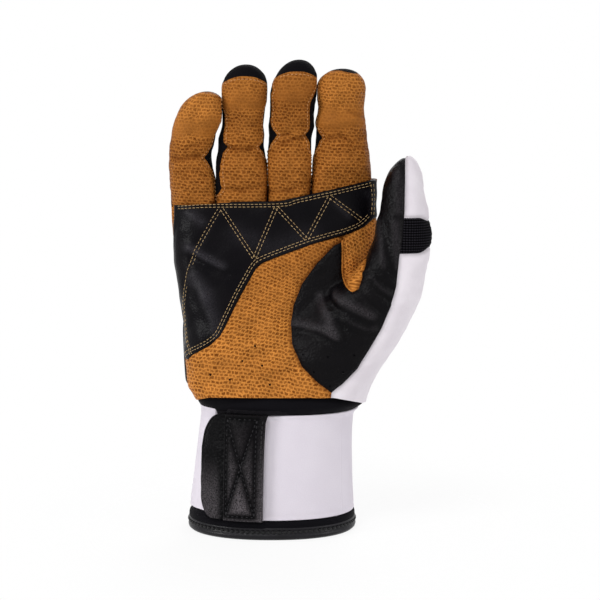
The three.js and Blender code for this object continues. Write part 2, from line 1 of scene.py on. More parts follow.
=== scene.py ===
"""A right-hand batting glove that stands on its cuff, palm to the camera.

The leather is built over the same sections as the solids: the palm and the thumb as one skin cut into
panels along the seams, each finger as a curled tube of front, side and back panels, and the cuff as
sheets wrapped round one sleeve. Tables are in millimetres of the part's source and turn into metres
when a mesh is made.
"""

import math

import bpy
import numpy as np
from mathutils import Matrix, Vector
from mathutils.bvhtree import BVHTree
from mathutils.kdtree import KDTree


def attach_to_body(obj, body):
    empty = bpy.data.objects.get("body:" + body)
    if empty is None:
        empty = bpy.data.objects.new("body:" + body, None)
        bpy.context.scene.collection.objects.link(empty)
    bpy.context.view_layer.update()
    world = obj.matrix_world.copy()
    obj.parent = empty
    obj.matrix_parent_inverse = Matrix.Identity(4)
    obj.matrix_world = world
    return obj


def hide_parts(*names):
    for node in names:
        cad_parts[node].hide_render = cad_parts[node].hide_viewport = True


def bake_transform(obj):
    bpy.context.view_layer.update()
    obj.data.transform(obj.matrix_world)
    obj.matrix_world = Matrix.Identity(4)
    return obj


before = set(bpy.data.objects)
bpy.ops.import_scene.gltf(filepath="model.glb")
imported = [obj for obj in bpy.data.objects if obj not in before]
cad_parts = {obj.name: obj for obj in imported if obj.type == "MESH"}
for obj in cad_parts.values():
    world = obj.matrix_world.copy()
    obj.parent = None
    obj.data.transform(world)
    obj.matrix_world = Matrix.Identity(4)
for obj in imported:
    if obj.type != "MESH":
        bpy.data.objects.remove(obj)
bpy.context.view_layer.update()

MM = 0.001
FRAME_SHIFT = np.array([0.5, 1.095, 0.0])
SIGN = {"left": -1, "right": 1}

# Sections of the hand: height, centre x, centre y, width, depth
PALM = [(66, -9.2, 0, 83.6, 57), (74, -11, 0, 90, 54), (103, -12.2, 0, 90.6, 45), (123, -12.6, 0, 94.8, 38),
        (143, -12.9, 0, 98.6, 31), (162, -13, 0, 101, 27), (182, -13, 0, 101, 26)]
THUMB = [(66, 12, -6, 38, 36), (80, 16, -11, 43, 36), (100, 26, -15, 48, 33), (120, 36.5, -18, 43.6, 29),
         (132, 44, -19.5, 33, 26.5), (150, 50.3, -20.5, 27.4, 24.5), (162, 50.6, -21.5, 22.6, 22.5),
         (173, 50.2, -22, 18.4, 19.5)]
THUMB_TIP = (52.0, -22.0, 189.0)
THUMB_POINT = 1.55
THUMB_CAP = 9.5
SLEEVE = [(0, -14.2, 0, 80.4, 58), (8, -14.2, 0, 80, 57), (29, -13.4, 0, 76.6, 54.5),
          (58, -11.5, 0, 73.2, 52), (66, -9.2, 0, 80, 53.4), (76, -10.5, 0, 82, 49)]
PALM_ROUNDNESS = 2.7
THUMB_ROUNDNESS = 2.3
SLEEVE_ROUNDNESS = 2.2
PALM_RISE = 5.0
BACK_SEAM_Y = 6.0
THUMB_SEAM_Y = -14.5
THUMB_BEND = ((50, -22, 143), (50, -22, 159))

# How softly the thumb melts into the palm at the heel and at the web, and the heights of the change
HEEL_MELT, WEB_MELT, LEAST_MELT = 14.0, 2.5, 0.12
HEEL_HEIGHTS, WEB_HEIGHTS = (68, 96), (98, 138)

# The grid on which the hand's skin is found: cell size and corners
SKIN_STEP = 1.05
SKIN_LOW, SKIN_HIGH = (-70.0, -42.0, 60.0), (72.0, 34.0, 193.0)

# Seams of the hand, seen from the front: x, z
THENAR_SEAM = [(15.4, 73.2), (9, 78.2), (0.5, 86.5), (-4, 97), (-4.5, 107), (-3, 116), (1, 126), (8, 135.5),
               (17, 144.5), (21, 146)]
THUMB_SEAM = [(50.6, 195), (50, 162), (49.2, 150), (47.6, 140.5), (46.5, 126), (43.5, 115.5), (39.5, 105.5),
              (34, 95.5), (28, 85.5), (20.5, 77.2), (15.4, 73.2)]
WEB_OUTLINE = [(21, 130), (23.5, 124.5), (27.5, 124.5), (60, 140), (60, 190), (21, 190)]
WEB_TONGUE = [(21, 190), (21, 146.4), (21, 130.6), (22.3, 126.3), (25.2, 123.5), (28, 125.2), (30, 132),
              (32, 139), (34, 146), (34, 190)]
TONGUE_TOP = 141
WEB_EDGE = [(20.8, 147), (20.8, 138), (20.8, 131), (22, 126.6), (25, 124), (27.6, 125.2)]
WEB_EDGE_RADIUS = 0.5
OVERLAY_TOP = [(-80, 163.8), (-60.5, 164.4), (-45, 165.6), (-10, 166.2), (0, 168.4), (35, 176), (80, 176)]
OVERLAY_BOTTOM = [(-55.6, 87), (-52.6, 90.4), (-44.2, 95.6), (-38.8, 100.6), (-33.8, 110.6), (-28.9, 120.5),
                  (-23.4, 130.2), (-21.6, 133.2), (-18.6, 136), (-7.3, 140.4), (6.3, 145.2), (24.4, 150),
                  (31.5, 153.2), (35.6, 157)]
OVERLAY_OUTLINE = [(-80, 84.5)] + OVERLAY_BOTTOM + [(80, 158)] + OVERLAY_TOP[::-1]
OVERLAY_SIDE_Y = -2.5
OVERLAY_THICKNESS = 1.2
OVERLAY_RISE = 1.7
OVERLAY_BANDS = (0.0, 0.5, 1.3)
KNUCKLE_LINE = [(-64, 163.5), (-52.8, 164), (-28.8, 166), (-5.3, 169), (20.8, 174.5), (37, 176)]
ZIGZAG = [(-38.4, 162.6), (-22.3, 138.4), (-11.6, 163.4), (3.2, 147.6), (14.6, 168.4), (30.2, 156.8)]
HEEL_ROW = [(-39.4, 162.4), (-44.8, 153.3), (-50.0, 143.8), (-53.4, 135.7), (-55.8, 128.0), (-57.3, 119),
            (-57.6, 108), (-56.4, 97), (-54.5, 90)]
PATCH_END = [(37.5, 158.5), (38.0, 166), (37.3, 174.5)]
BACK_TUCKS = [[(-41, 159), (-35, 120), (-31.5, 84)], [(-16, 163), (-14, 120), (-13, 84)],
              [(7.5, 167), (5.5, 120), (4.5, 84)]]
TUCK_ROWS = (-1.5, 1.5)
KNUCKLE_ROW = 2.2

# The knit insert of the thumb: middle height, half height, taper to the outside, and the pitch of its ribs
RIB_MIDDLE, RIB_HALF, RIB_TAPER, RIB_PITCH = 151, 8.6, 2.4, 2.4

# How deep the hand's seams are sunk, how far its wrist edge is rolled, and how deep it lies under the patch
SEAM_GROOVE, WRIST_ROLL, PATCH_SINK = 0.75, 0.7, 0.6

# Soft folds of the hand leather: line seen from the front, width, depth (negative is a crease)
FOLDS = [
    ([(14, 120), (18.4, 111.2), (21.8, 100.4)], 2.2, -1.0),
    ([(10.5, 119), (14.6, 110), (17.5, 101)], 3.0, 0.9),
    ([(-2.4, 103.5), (9.2, 101.5), (17.5, 98.6)], 1.8, -1.0),
    ([(-2, 107), (9, 105.5), (16, 103)], 2.6, 0.8),
    ([(34.6, 133.4), (39.5, 128.6), (44.6, 125.1)], 1.3, -0.8),
    ([(33.7, 129), (38, 123.6), (42.5, 120.2)], 1.3, -0.8),
    ([(33.8, 131.2), (38.6, 126), (43.6, 122.6)], 1.3, 0.5),
    ([(29.9, 125.1), (33.5, 119), (38.6, 114.4)], 1.5, -0.8),
    ([(15.5, 116.1), (24.2, 112.1), (33.4, 108.2)], 1.7, -0.9),
    ([(18, 120.5), (26, 116.4), (34, 112.5)], 2.6, 0.9),
    ([(22, 106.5), (29, 103.5), (35, 102.5)], 2.0, -0.6),
    ([(24, 110), (31, 106.6), (36, 106)], 2.2, 0.5),
    ([(41.2, 156), (42.2, 146), (43.8, 134)], 1.7, -0.8),
    ([(45.8, 157), (46.4, 147), (46.4, 136)], 2.2, 0.7),
    ([(38.6, 157), (39.6, 147), (40.6, 137)], 2.2, 0.6),
    ([(5, 90), (16, 86), (27, 87)], 3.0, 0.4),
    ([(-40, 88), (-25, 84), (-8, 84)], 3.0, -0.3),
    ([(-54, 143), (-46, 138), (-38, 134)], 2.2, 0.8),
    ([(-52, 138), (-44, 133.6), (-36, 130)], 2.4, -0.6),
    ([(-52, 120), (-46, 105), (-44, 96)], 3.0, -0.4),
    ([(-46, 118), (-42, 108), (-41, 101)], 4.0, 0.5),
    ([(-30, 150), (-14, 143), (6, 149)], 5.0, 0.25),
    ([(-54, 160), (-48, 156)], 2.6, 0.5),
    ([(-52, 129), (-46, 121)], 3.5, 0.5),
    ([(18, 165), (24, 159)], 1.8, 0.4),
    ([(33, 170), (35, 163)], 1.5, 0.4),
    ([(47, 181), (47.5, 163)], 2.2, 0.6),
]

# Vent holes of the palm and the ball of the thumb: x, z
VENTS = [(1.5, 92.5), (13.6, 91.9), (26.2, 92.9), (6.8, 84.2), (20.9, 84.4), (14.6, 77.0), (-28.2, 88.8),
         (-18.5, 86.6), (-43.7, 81.4), (-14.7, 77.4), (-22.0, 96.0), (-34.2, 79.6)]
VENT_RADIUS = 0.55
VENT_REACH, VENT_DEPTH, VENT_SPREAD = 1.7, 0.5, 0.35

# Piping on the little-finger side, and the knit saddles between the fingers: x, z and half sizes
PIPING_BOTTOM, PIPING_TOP, PIPING_RADIUS = 71.0, 162.0, 0.85
FINGER_WEBS = [(-41.5, 166.5), (-15.9, 172.5), (5.8, 178.0)]
SADDLE_WIDE, SADDLE_DEEP = 3.2, 8.5
SADDLE_RISE, SADDLE_DROP = 2.2, 13.0
SADDLE_POINTS = 13

# Fingers. z, x and width: height, centre and width at the knuckle, middle joint, crease and pulp.
# tip: x, height. hood: how far the knit comes over the tip, in the middle and more at the sides of turn.
# split: where the lower panels end. slice and tip_slice: the strip that holds the finger, below and above.
# plump: padding of the three lengths. smooth: where the embossing is worn off. tone: how much painted shade
# darkens the upper lengths.
# folds: x and height above the middle joint of both ends, width, depth. insets: height, how far drawn in.
FINGERS = {
    "little": {
        "z": (165.5, 187.4, 197.5, 206.0), "x": (-52.8, -54.0, -52.2, -49.5),
        "width": (22.2, 20.6, 21.4, 22.0), "tip": (-44.8, 219.6),
        "hood": (0.15, 0.2), "turn": 0.0, "split": 177.5,
        "slice": (-63.2, -41.5), "tip_slice": (-63.2, -37.85),
        "plump": (0.9, 0.5, 0.7), "smooth": (197.0, 205.0), "tone": 0.08,
        "folds": [(-7, -1.5, 5, 0.5, 1.0, 0.5), (-3, 4, 6, 7.5, 1.0, 0.4), (-6, -6.5, 4, -5.5, 1.1, 0.3)],
        "insets": {
            "right": [(160, 0.0), (180, 0.3), (185, 1.8), (187.4, 3.0), (190, 1.6), (194, 0.4),
                      (220, 0.2)]},
    },
    "ring": {
        "z": (167.4, 192.3, 203.0, 219.0), "x": (-28.8, -29.0, -28.0, -27.0),
        "width": (25.0, 22.4, 20.2, 21.6), "tip": (-25.9, 232.5),
        "hood": (5.6, 4.0), "turn": 0.0, "split": 181.0,
        "slice": (-41.5, -16.0), "tip_slice": (-37.85, -15.4),
        "plump": (1.5, 0.8, 0.5), "smooth": (209.5, 217.5), "tone": 0.34,
        "folds": [(-9, 1.5, 1, -1.2, 1.0, 0.6), (1, -1.2, 8, 0.8, 1.0, 0.5), (-7, 5, 2, 3, 0.9, 0.3),
                  (-10, -20, 0, -21, 1.3, 0.6), (0, -21, 8, -18.3, 1.3, 0.6)],
        "insets": {
            "left": [(160, 0.1), (168, 0.2), (169.6, 2.0), (173, 3.4), (186, 2.8), (190, 3.4), (192.3, 4.6),
                     (195, 3.2), (200, 2.2), (207, 1.8), (211, 0.6), (233, 0.3)],
            "right": [(160, 0.0), (186, 0.0), (190.5, 1.4), (192.3, 2.3), (194.5, 1.2), (197, 0.5),
                      (233, 0.3)]},
    },
    "middle": {
        "z": (170.4, 197.2, 206.0, 219.0), "x": (-5.3, -4.4, -4.0, -3.2),
        "width": (20.8, 21.4, 21.4, 21.4), "tip": (-0.4, 234.8),
        "hood": (5.6, 4.0), "turn": 0.0, "split": 185.0,
        "slice": (-16.0, 5.65), "tip_slice": (-15.4, 8.25),
        "plump": (1.3, 0.6, 0.7), "smooth": (215.5, 222.0), "tone": 0.48,
        "folds": [(-3.3, -2.5, 7.5, 1.6, 0.9, 0.7), (-7.5, 0.6, -0.5, 1.7, 0.8, 0.5),
                  (-5.5, -4, 2, -3.2, 0.9, 0.35), (-10.5, -26.8, 0, -25.8, 1.3, 0.5),
                  (0, -25.8, 9, -21.8, 1.3, 0.5)],
        "insets": {
            "left": [(160, 0.0), (190, 0.0), (196, 2.4), (198.5, 4.2), (201, 2.4), (204, 0.9), (217, 0.9),
                     (220.5, 1.6), (223, 0.5), (235, 0.3)],
            "right": [(160, 0.0), (186, 0.2), (192, 1.8), (196, 2.2), (198.5, 3.6), (201, 2.2), (207, 2.4),
                      (213, 2.8), (217, 1.8), (221, 0.8), (235, 0.3)]},
    },
    "index": {
        "z": (177.2, 196.7, 211.0, 219.5), "x": (20.8, 20.5, 20.0, 20.0),
        "width": (29.2, 25.0, 22.2, 23.2), "tip": (20.4, 230.5),
        "hood": (0.9, 1.4), "turn": -0.6, "split": 187.5,
        "slice": (5.65, 36.7), "tip_slice": (8.25, 36.7),
        "plump": (0.4, 1.4, 0.5), "smooth": (202.0, 211.0), "tone": 0.12,
        "folds": [(0, -3.4, 12, -5.2, 0.9, 0.6), (3.3, 13.3, 10.5, 10, 1.0, 0.7),
                  (-4, -4.5, 4, -7.8, 0.9, 0.4), (-10, -0.4, -3, 0.3, 0.9, 0.5),
                  (0.4, -0.4, 6, -1.9, 0.8, 0.4)],
        "insets": {
            "left": [(160, 0.0), (188, 0.1), (194.5, 1.9), (197, 2.6), (199.5, 1.4), (203, 0.4),
                     (231, 0.2)]},
    },
}
CURL_Y = (0.0, -3.5, -8.0, -14.0)
CURL_DEPTH = (25.0, 22.5, 21.0, 20.5)
TIP_Y = -19.0
ROOT_LENGTH = 9.0
ROOT_DEPTH = 24.6
INNER_ROUNDNESS = (5.0, 3.6, 2.35, 2.3, 2.3)
OUTER_ROUNDNESS = (2.8, 2.6, 2.3, 2.3, 2.3)
BACK_SEAM_ANGLE = math.radians(106)
BEND_REACH = 8.0
STRIP_MARGIN = 0.1
TIP_MARGIN = 0.3
FRONT_SKIRT = 0.9

# Sewn rows of a finger: what they leave free at their ends, and how far inside the front's edges they run
SEAM_ENDS = {"lower": (7, 0), "upper": (0, 3)}
SEAM_TURN, HOOD_TURN, HOOD_ROW, REAL_HOOD = 0.13, 0.2, 1.3, 4

# Millimetres of a finger's surface for a turn of one radian, at its seams and on its front
SEAM_RADIUS, FRONT_RADIUS = 10.5, 10.8
FINGER_EMBOSSING = 1.1

# Grid lines of the finger panels, steps at which their slope is measured, and what sets their waves apart
PANEL_ROWS = {"lower": 34, "upper": 60, "hood": 18}
PANEL_COLUMNS = {"front": 46, "back": 34, "left": 9, "right": 9}
TURN_STEP, RISE_STEP = 0.02, 0.15
WAVE_START = {"front": 553, "back": 401, "side": 421}

# Cuff
STRAP_BOTTOM, STRAP_TOP = 9.8, 62.2
STRAP_MIDDLE = (STRAP_BOTTOM + STRAP_TOP) / 2
STRAP_LIFT = 2.4
STRAP_END_X, LOOP_END_X = -44.0, -27.0
TAB_LEFT_X, TAB_RIGHT_X = -49.0, -17.0
TAB_BOTTOM, TAB_TOP = 10.0, 63.0
BOX_LEFT_X = -37.0
HOOK_INSET = 2.0
HINGE_ANGLE = math.radians(64.3)
FLAP_REACH = 10
TAB_BEND = ((TAB_RIGHT_X + 0.5, -28, STRAP_MIDDLE), (TAB_RIGHT_X - 6, -28, STRAP_MIDDLE))
FRINGE_LEFT_X, FRINGE_RIGHT_X = -41, -4
SHEET_STEP, SHEET_BEVEL = 0.9, 0.6

# Layers on the sleeve: how far each lies outside it, inside and outside, and where edges are measured
ELASTIC_LAYER = (0.2, 1.7)
FRINGE_LAYER = (0.4, 2.5)
HOOK_LAYER = (1.9, 2.75)
TAB_LAYER = (2.8, 4.0)
BOX_LAYER = (3.9, 5.0)
ON_SLEEVE, ON_TAB, ON_BOX = 1.0, 3.9, 4.8

# How the tab's side edges lean, bottom and top of each; its round corners, wide and tall; and its sewing
NO_LEAN = (0, 0, 0, 0)
TAB_LEAN = (3.0, -4.0, 0.0, -1.7)
BOX_LEAN = (1.35, -2.9, 0.0, -1.7)
TAB_CORNERS = ((8.0, 12.0), (14.0, 20.0))
BOX_MARGIN = 2.4
TAB_GROOVE = 0.25
IN_SQUARE, ON_EDGE, ABOVE_TAB = 4.6, 5.7, 7.0

# Profiles swept round the sleeve: distance outside it, height
SLEEVE_PROFILE = [(0.6, 3.0), (1.7, 6.0), (1.9, 8.0), (1.2, 9.4), (0.1, 10.8), (0.0, 18.0), (0.0, 30.0),
                  (0.0, 45.0), (0.0, 57.0), (0.2, 61.0), (1.0, 62.6), (1.9, 64.2), (2.4, 66.0), (2.2, 68.0),
                  (1.4, 70.2), (0.2, 73.0)]
SLEEVE_INSIDE = -2.2
HEM_PROFILE = [(-2.4, 2.0), (-1.8, 0.7), (-0.4, 0.05), (1.0, 0.25), (2.0, 1.1), (2.3, 2.0), (2.1, 2.9),
               (1.6, 3.5), (1.45, 4.3), (1.8, 5.2), (2.1, 5.7), (1.9, 6.3), (1.2, 6.5), (-2.2, 5.5)]
HEM_ROW = (1.6, 4.4)
HEM_CENTRE = 4.5

# Sewing: pitch, length and radius of a stitch, the double row, and steps along a stitch (place, rise, size)
PATCH_STITCH = (2.05, 1.45, 0.14)
BACK_STITCH = (2.4, 1.7, 0.2)
FINGER_STITCH = (1.9, 1.25, 0.2)
HEM_STITCH = (2.6, 1.9, 0.6)
TAB_STITCH = (2.4, 1.7, 0.24)
DOUBLE_ROW = (-0.8, 0.8)
STITCH_RING = 6
STITCH_STEPS = ((-0.5, -0.5, 0.55), (-0.36, 0.45, 0.95), (0, 0.75, 1.0), (0.36, 0.45, 0.95),
                (0.5, -0.5, 0.55))

# Embossed dashes of the tan leather in millimetres, and loops of the rib knit in metres
DASH_LENGTH, DASH_ROW, DASH_SCALE = 2.25, 1.78, 100.0
RIB_ROW, RIB_LOOP = 0.00125, 0.0014

# Stage, in metres: camera, and lamps by name, place, size and power
CAMERA_AIM = Vector((0.0005, 0.0011, 0.1155))
CAMERA_DISTANCE = 0.9
CAMERA_RISE = math.radians(8)
CAMERA_LENS, CAMERA_SENSOR = 108, 36
LAMPS = [("left", (-0.95, -0.6, 0.3), 0.35, 4.8), ("top", (-0.25, -0.65, 1.05), 0.35, 4.6),
         ("right", (0.9, -0.5, 0.3), 0.5, 2.6), ("back", (0.2, 0.9, 0.8), 0.7, 5.0)]
ROOM_STRENGTH = 0.42
FLOOR_HALF, FLOOR_FADE = 1.5, (0.06, 0.2)


# Small maths

def smooth(low, high, value):
    """Rises from 0 to 1 between low and high without a kink."""
    t = np.clip((value - low) / (high - low), 0, 1)
    return t * t * (3 - 2 * t)


def bump(value, centre, width):
    """A rounded hill of height 1."""
    return np.exp(-((value - centre) / width) ** 2)


def monotone(xs, ys, x):
    """A smooth curve through the stations that never overshoots them."""
    xs, ys = np.asarray(xs, float), np.asarray(ys, float)
    gap = np.diff(xs)
    slope = np.diff(ys) / gap
    tangent = np.zeros_like(ys)
    tangent[0], tangent[-1] = slope[0], slope[-1]
    product = slope[:-1] * slope[1:]
    total = np.where(product > 0, slope[:-1] + slope[1:], 1.0)
    tangent[1:-1] = np.where(product > 0, 2 * product / total, 0.0)
    x = np.clip(x, xs[0], xs[-1])
    i = np.clip(np.searchsorted(xs, x) - 1, 0, len(gap) - 1)
    t = (x - xs[i]) / gap[i]
    start = (1 + 2 * t) * (1 - t) ** 2 * ys[i] + t * (1 - t) ** 2 * gap[i] * tangent[i]
    finish = t * t * (3 - 2 * t) * ys[i + 1] + t * t * (t - 1) * gap[i] * tangent[i + 1]
    return start + finish


def wobble(points, wavelength, seed):
    """Soft uneven rise and fall, about -1 to 1, that repeats each run."""
    rng = np.random.RandomState(seed)
    total = np.zeros(len(points))
    for _ in range(7):
        direction = rng.normal(size=3)
        direction /= np.linalg.norm(direction)
        stretch = rng.uniform(0.7, 1.5)
        total += np.sin(points @ direction * (2 * math.pi * stretch / wavelength) + rng.uniform(0, 6.3))
    return total / 3.5


def line_distance(x, z, line):
    """Distance from each point to a polyline."""
    best = np.full(np.shape(x), 1e9)
    for (x0, z0), (x1, z1) in zip(line, line[1:]):
        dx, dz = x1 - x0, z1 - z0
        t = np.clip(((x - x0) * dx + (z - z0) * dz) / (dx * dx + dz * dz), 0, 1)
        best = np.minimum(best, np.hypot(x - x0 - t * dx, z - z0 - t * dz))
    return best


def inside_outline(x, z, outline):
    """Distance to a closed outline, positive inside it."""
    closed = list(outline) + [outline[0]]
    odd = np.zeros(np.shape(x), bool)
    for (x0, z0), (x1, z1) in zip(closed, closed[1:]):
        crosses = (z0 > z) != (z1 > z)
        at = x0 + (z - z0) * (x1 - x0) / (z1 - z0 if z1 != z0 else 1e-9)
        odd ^= crosses & (x < at)
    return np.where(odd, 1, -1) * line_distance(x, z, closed)


def curve_through(points, per_piece=8):
    """A rounded line through points of any dimension."""
    p = np.asarray(points, float)
    p = np.vstack([2 * p[0] - p[1], p, 2 * p[-1] - p[-2]])
    t = np.linspace(0, 1, per_piece, endpoint=False)[:, None]
    rows = []
    for a, b, c, d in zip(p, p[1:], p[2:], p[3:]):
        rows.append(0.5 * (2 * b + (c - a) * t + (2 * a - 5 * b + 4 * c - d) * t ** 2
                           + (3 * b - a - 3 * c + d) * t ** 3))
    return np.vstack(rows + [p[-2:-1]])


def offset_line(line, distance):
    """The same line moved sideways, to its left."""
    line = np.asarray(line, float)
    along = np.gradient(line, axis=0)
    along /= np.linalg.norm(along, axis=1, keepdims=True)
    return line + distance * np.stack([-along[:, 1], along[:, 0]], axis=1)


def run_length(line):
    """Length along a line up to each of its points."""
    return np.concatenate([[0], np.cumsum(np.linalg.norm(np.diff(line, axis=0), axis=1))])


def edges_of(polygon):
    """Each corner of a polygon with the next one."""
    return zip(polygon, polygon[1:] + polygon[:1])


def gradient(field, p, step=0.05):
    """Direction in which a field grows at each point."""
    out = np.zeros_like(p)
    for axis in range(3):
        move = np.zeros(3)
        move[axis] = step
        out[:, axis] = (field(p + move) - field(p - move)) / (2 * step)
    return out


def unit(v):
    """Vectors of length 1."""
    return v / np.maximum(np.linalg.norm(v, axis=-1, keepdims=True), 1e-9)


# Sections

def section(rows, z):
    """Centre and half sizes of a tube at each height."""
    table = np.array(rows, float)
    x, y, width, depth = (monotone(table[:, 0], table[:, i], z) for i in (1, 2, 3, 4))
    return x, y, width / 2, depth / 2


def oval_distance(dx, dy, a, b, n):
    """About how far a point lies outside a rounded oval."""
    u, v = np.abs(dx) / a + 1e-6, np.abs(dy) / b + 1e-6
    r = (u ** n + v ** n) ** (1 / n)
    slope = np.hypot(u ** (n - 1) / a, v ** (n - 1) / b) * r ** (1 - n)
    return (r - 1) / slope


def oval_radius(angle, left, right, b, n):
    """Distance from the centre to a rounded oval; angle 0 faces the camera, positive turns right."""
    s, c = np.sin(angle), np.cos(angle)
    a = np.where(s < 0, left, right)
    return ((np.abs(s) / a + 1e-9) ** n + (np.abs(c) / b + 1e-9) ** n) ** (-1 / n)


def palm_distance(p):
    """About how far a point lies outside the palm."""
    x, y, a, b = section(PALM, p[:, 2])
    return oval_distance(p[:, 0] - x, p[:, 1] - y, a, b, PALM_ROUNDNESS)


def thumb_distance(p):
    """About how far a point lies outside the thumb, whose tip is drawn in to a blunt point."""
    top = THUMB[-1]
    n = THUMB_ROUNDNESS
    rise = np.clip((p[:, 2] - top[0]) / (THUMB_TIP[2] - top[0]), 0, 4)
    x, y, a, b = section(THUMB, p[:, 2])
    x = x + rise * (THUMB_TIP[0] - top[1])
    dx, dy = p[:, 0] - x, p[:, 1] - y
    ring = ((np.abs(dx) / a) ** n + (np.abs(dy) / b) ** n) ** (1 / n)
    cap = ((ring ** THUMB_POINT + rise ** THUMB_POINT) ** (1 / THUMB_POINT) - 1) * THUMB_CAP
    return np.where(rise > 0, cap, oval_distance(dx, dy, a, b, n))


def thumb_share(p):
    """Positive where the skin belongs to the thumb."""
    return palm_distance(p) - thumb_distance(p)


def hand_distance(p):
    """Palm and thumb melted into one skin, softly at the heel and tightly at the thumb web."""
    palm, thumb = palm_distance(p), thumb_distance(p)
    reach = HEEL_MELT - (HEEL_MELT - WEB_MELT) * smooth(*WEB_HEIGHTS, p[:, 2])
    reach = reach * (LEAST_MELT + (1 - LEAST_MELT) * smooth(*HEEL_HEIGHTS, p[:, 2]))
    h = np.maximum(reach - np.abs(palm - thumb), 0) / reach
    return np.minimum(palm, thumb) - h * h * reach / 4


# The skin of the hand

def sample_skin():
    """Field values on a grid round the palm and the thumb."""
    axes = [np.arange(low, high, SKIN_STEP) for low, high in zip(SKIN_LOW, SKIN_HIGH)]
    shape = [len(a) for a in axes]
    grid = np.stack(np.meshgrid(*axes, indexing="ij"), axis=-1).reshape(-1, 3)
    return hand_distance(grid).reshape(shape)


def net_vertices(values):
    """One vertex in each grid cell that the skin passes through."""
    cells = tuple(n - 1 for n in values.shape)
    total, count = np.zeros(cells + (3,)), np.zeros(cells)
    corners = np.array([(i, j, k) for i in (0, 1) for j in (0, 1) for k in (0, 1)])

    def at(corner):
        return values[tuple(slice(c, c + n) for c, n in zip(corner, cells))]

    for a in corners:
        for axis in range(3):
            if a[axis]:
                continue
            b = a.copy()
            b[axis] = 1
            va, vb = at(a), at(b)
            crosses = (va < 0) != (vb < 0)
            t = np.where(crosses, va / np.where(crosses, va - vb, 1), 0)
            total += crosses[..., None] * (a + t[..., None] * (b - a))
            count += crosses
    active = count > 0
    index = np.full(cells, -1)
    index[active] = np.arange(active.sum())
    points = total[active] / count[active][:, None] + np.argwhere(active)
    return points * SKIN_STEP + np.array(SKIN_LOW), index


def net_quads(values, index):
    """The quads between those vertices, facing outwards."""
    quads = []
    for order in ((0, 1, 2), (1, 2, 0), (2, 0, 1)):
        v, n = np.transpose(values, order) < 0, np.transpose(index, order)
        i, j, k = np.nonzero(v[:-1, 1:-1, 1:-1] != v[1:, 1:-1, 1:-1])
        outward = v[i, j + 1, k + 1]
        ring = np.stack([n[i, j, k], n[i, j + 1, k], n[i, j + 1, k + 1], n[i, j, k + 1]], axis=1)
        quads.append(np.where(outward[:, None], ring, ring[:, ::-1]))
    quads = np.vstack(quads)
    return quads[(quads >= 0).all(axis=1)]


def settle(points):
    """Moves points onto the skin."""
    for _ in range(3):
        slope = gradient(hand_distance, points)
        square = np.maximum((slope ** 2).sum(axis=1), 0.05)
        points = points - (hand_distance(points) / square)[:, None] * slope * 0.9
    return points


def with_crossings(polygon, on_edge):
    """A polygon's corners, with the new points on its edges between them."""
    loop = []
    for i, j in edges_of(polygon):
        loop.append(i)
        middle = on_edge.get((min(i, j), max(i, j)))
        if middle is not None:
            loop.append(middle)
    return loop


class Skin:
    """Polygons on the hand, each with the name of its panel once that is cut."""

    def __init__(self, points, polygons, labels=None):
        self.points = points
        self.polygons = polygons
        self.labels = labels or [None] * len(polygons)

    def copy(self):
        """The same skin, to be cut another way."""
        return Skin(self.points.copy(), [list(p) for p in self.polygons], list(self.labels))

    def snap(self, field, values, within):
        """Pulls vertices that lie close to the line onto it, so that no slivers are cut."""
        near = np.abs(values) < within
        if not near.any():
            return
        p = self.points[near]
        slope, normal = gradient(field, p), unit(gradient(hand_distance, p))
        slope -= (slope * normal).sum(axis=1, keepdims=True) * normal
        square = (slope ** 2).sum(axis=1)
        good = square > 0.2
        step = np.where(good, values[near] / np.maximum(square, 0.2), 0)
        self.points[near] = p - step[:, None] * slope
        values[near] = np.where(good, 0, values[near])

    def crossings(self, values):
        """New points where the zero line crosses the edges of free polygons, and their numbers by edge."""
        on_edge, added = {}, []
        for polygon, label in zip(self.polygons, self.labels):
            if label is not None:
                continue
            for i, j in edges_of(polygon):
                key = (min(i, j), max(i, j))
                if values[i] * values[j] < 0 and key not in on_edge:
                    t = values[i] / (values[i] - values[j])
                    on_edge[key] = len(self.points) + len(added)
                    added.append(self.points[i] + t * (self.points[j] - self.points[i]))
        return on_edge, added

    def cut(self, field, name=None, within=0.4):
        """Splits the free polygons along the zero line; those on the positive side take the name."""
        values = field(self.points)
        self.snap(field, values, within)
        on_edge, added = self.crossings(values)
        sides = np.concatenate([np.sign(values), np.zeros(len(added))])
        polygons, labels = [], []
        for polygon, label in zip(self.polygons, self.labels):
            loop = with_crossings(polygon, on_edge)
            if label is not None:
                polygons.append(loop)
                labels.append(label)
                continue
            for sign, new_label in ((1, name), (-1, None)):
                part = [i for i in loop if sides[i] * sign >= 0]
                if len(part) >= 3 and any(sides[i] * sign > 0 for i in part):
                    polygons.append(part)
                    labels.append(new_label)
        if added:
            self.points = np.vstack([self.points, added])
        self.polygons, self.labels = polygons, labels

    def centres(self):
        """The middle of each polygon."""
        return np.array([self.points[p].mean(axis=0) for p in self.polygons])

    def keep(self, wanted):
        """Drops every polygon that isn't wanted."""
        self.polygons = [p for p, w in zip(self.polygons, wanted) if w]
        self.labels = [q for q, w in zip(self.labels, wanted) if w]

    def panel(self, label):
        """The polygons of one panel."""
        return [p for p, q in zip(self.polygons, self.labels) if q == label]

    def seam_points(self):
        """Points along the edges where two panels meet."""
        owner, found = {}, []
        for polygon, label in zip(self.polygons, self.labels):
            for i, j in edges_of(polygon):
                key = (min(i, j), max(i, j))
                if owner.setdefault(key, label) != label and "vent" not in (owner[key], label):
                    start, end = self.points[i], self.points[j]
                    found += [start, end, (start + end) / 2]
        return np.array(found)

    def normals(self):
        """Area-weighted vertex normals."""
        total = np.zeros_like(self.points)
        for polygon in self.polygons:
            p = self.points[polygon]
            total[polygon] += np.cross(p, np.roll(p, -1, axis=0)).sum(axis=0)
        return unit(total)


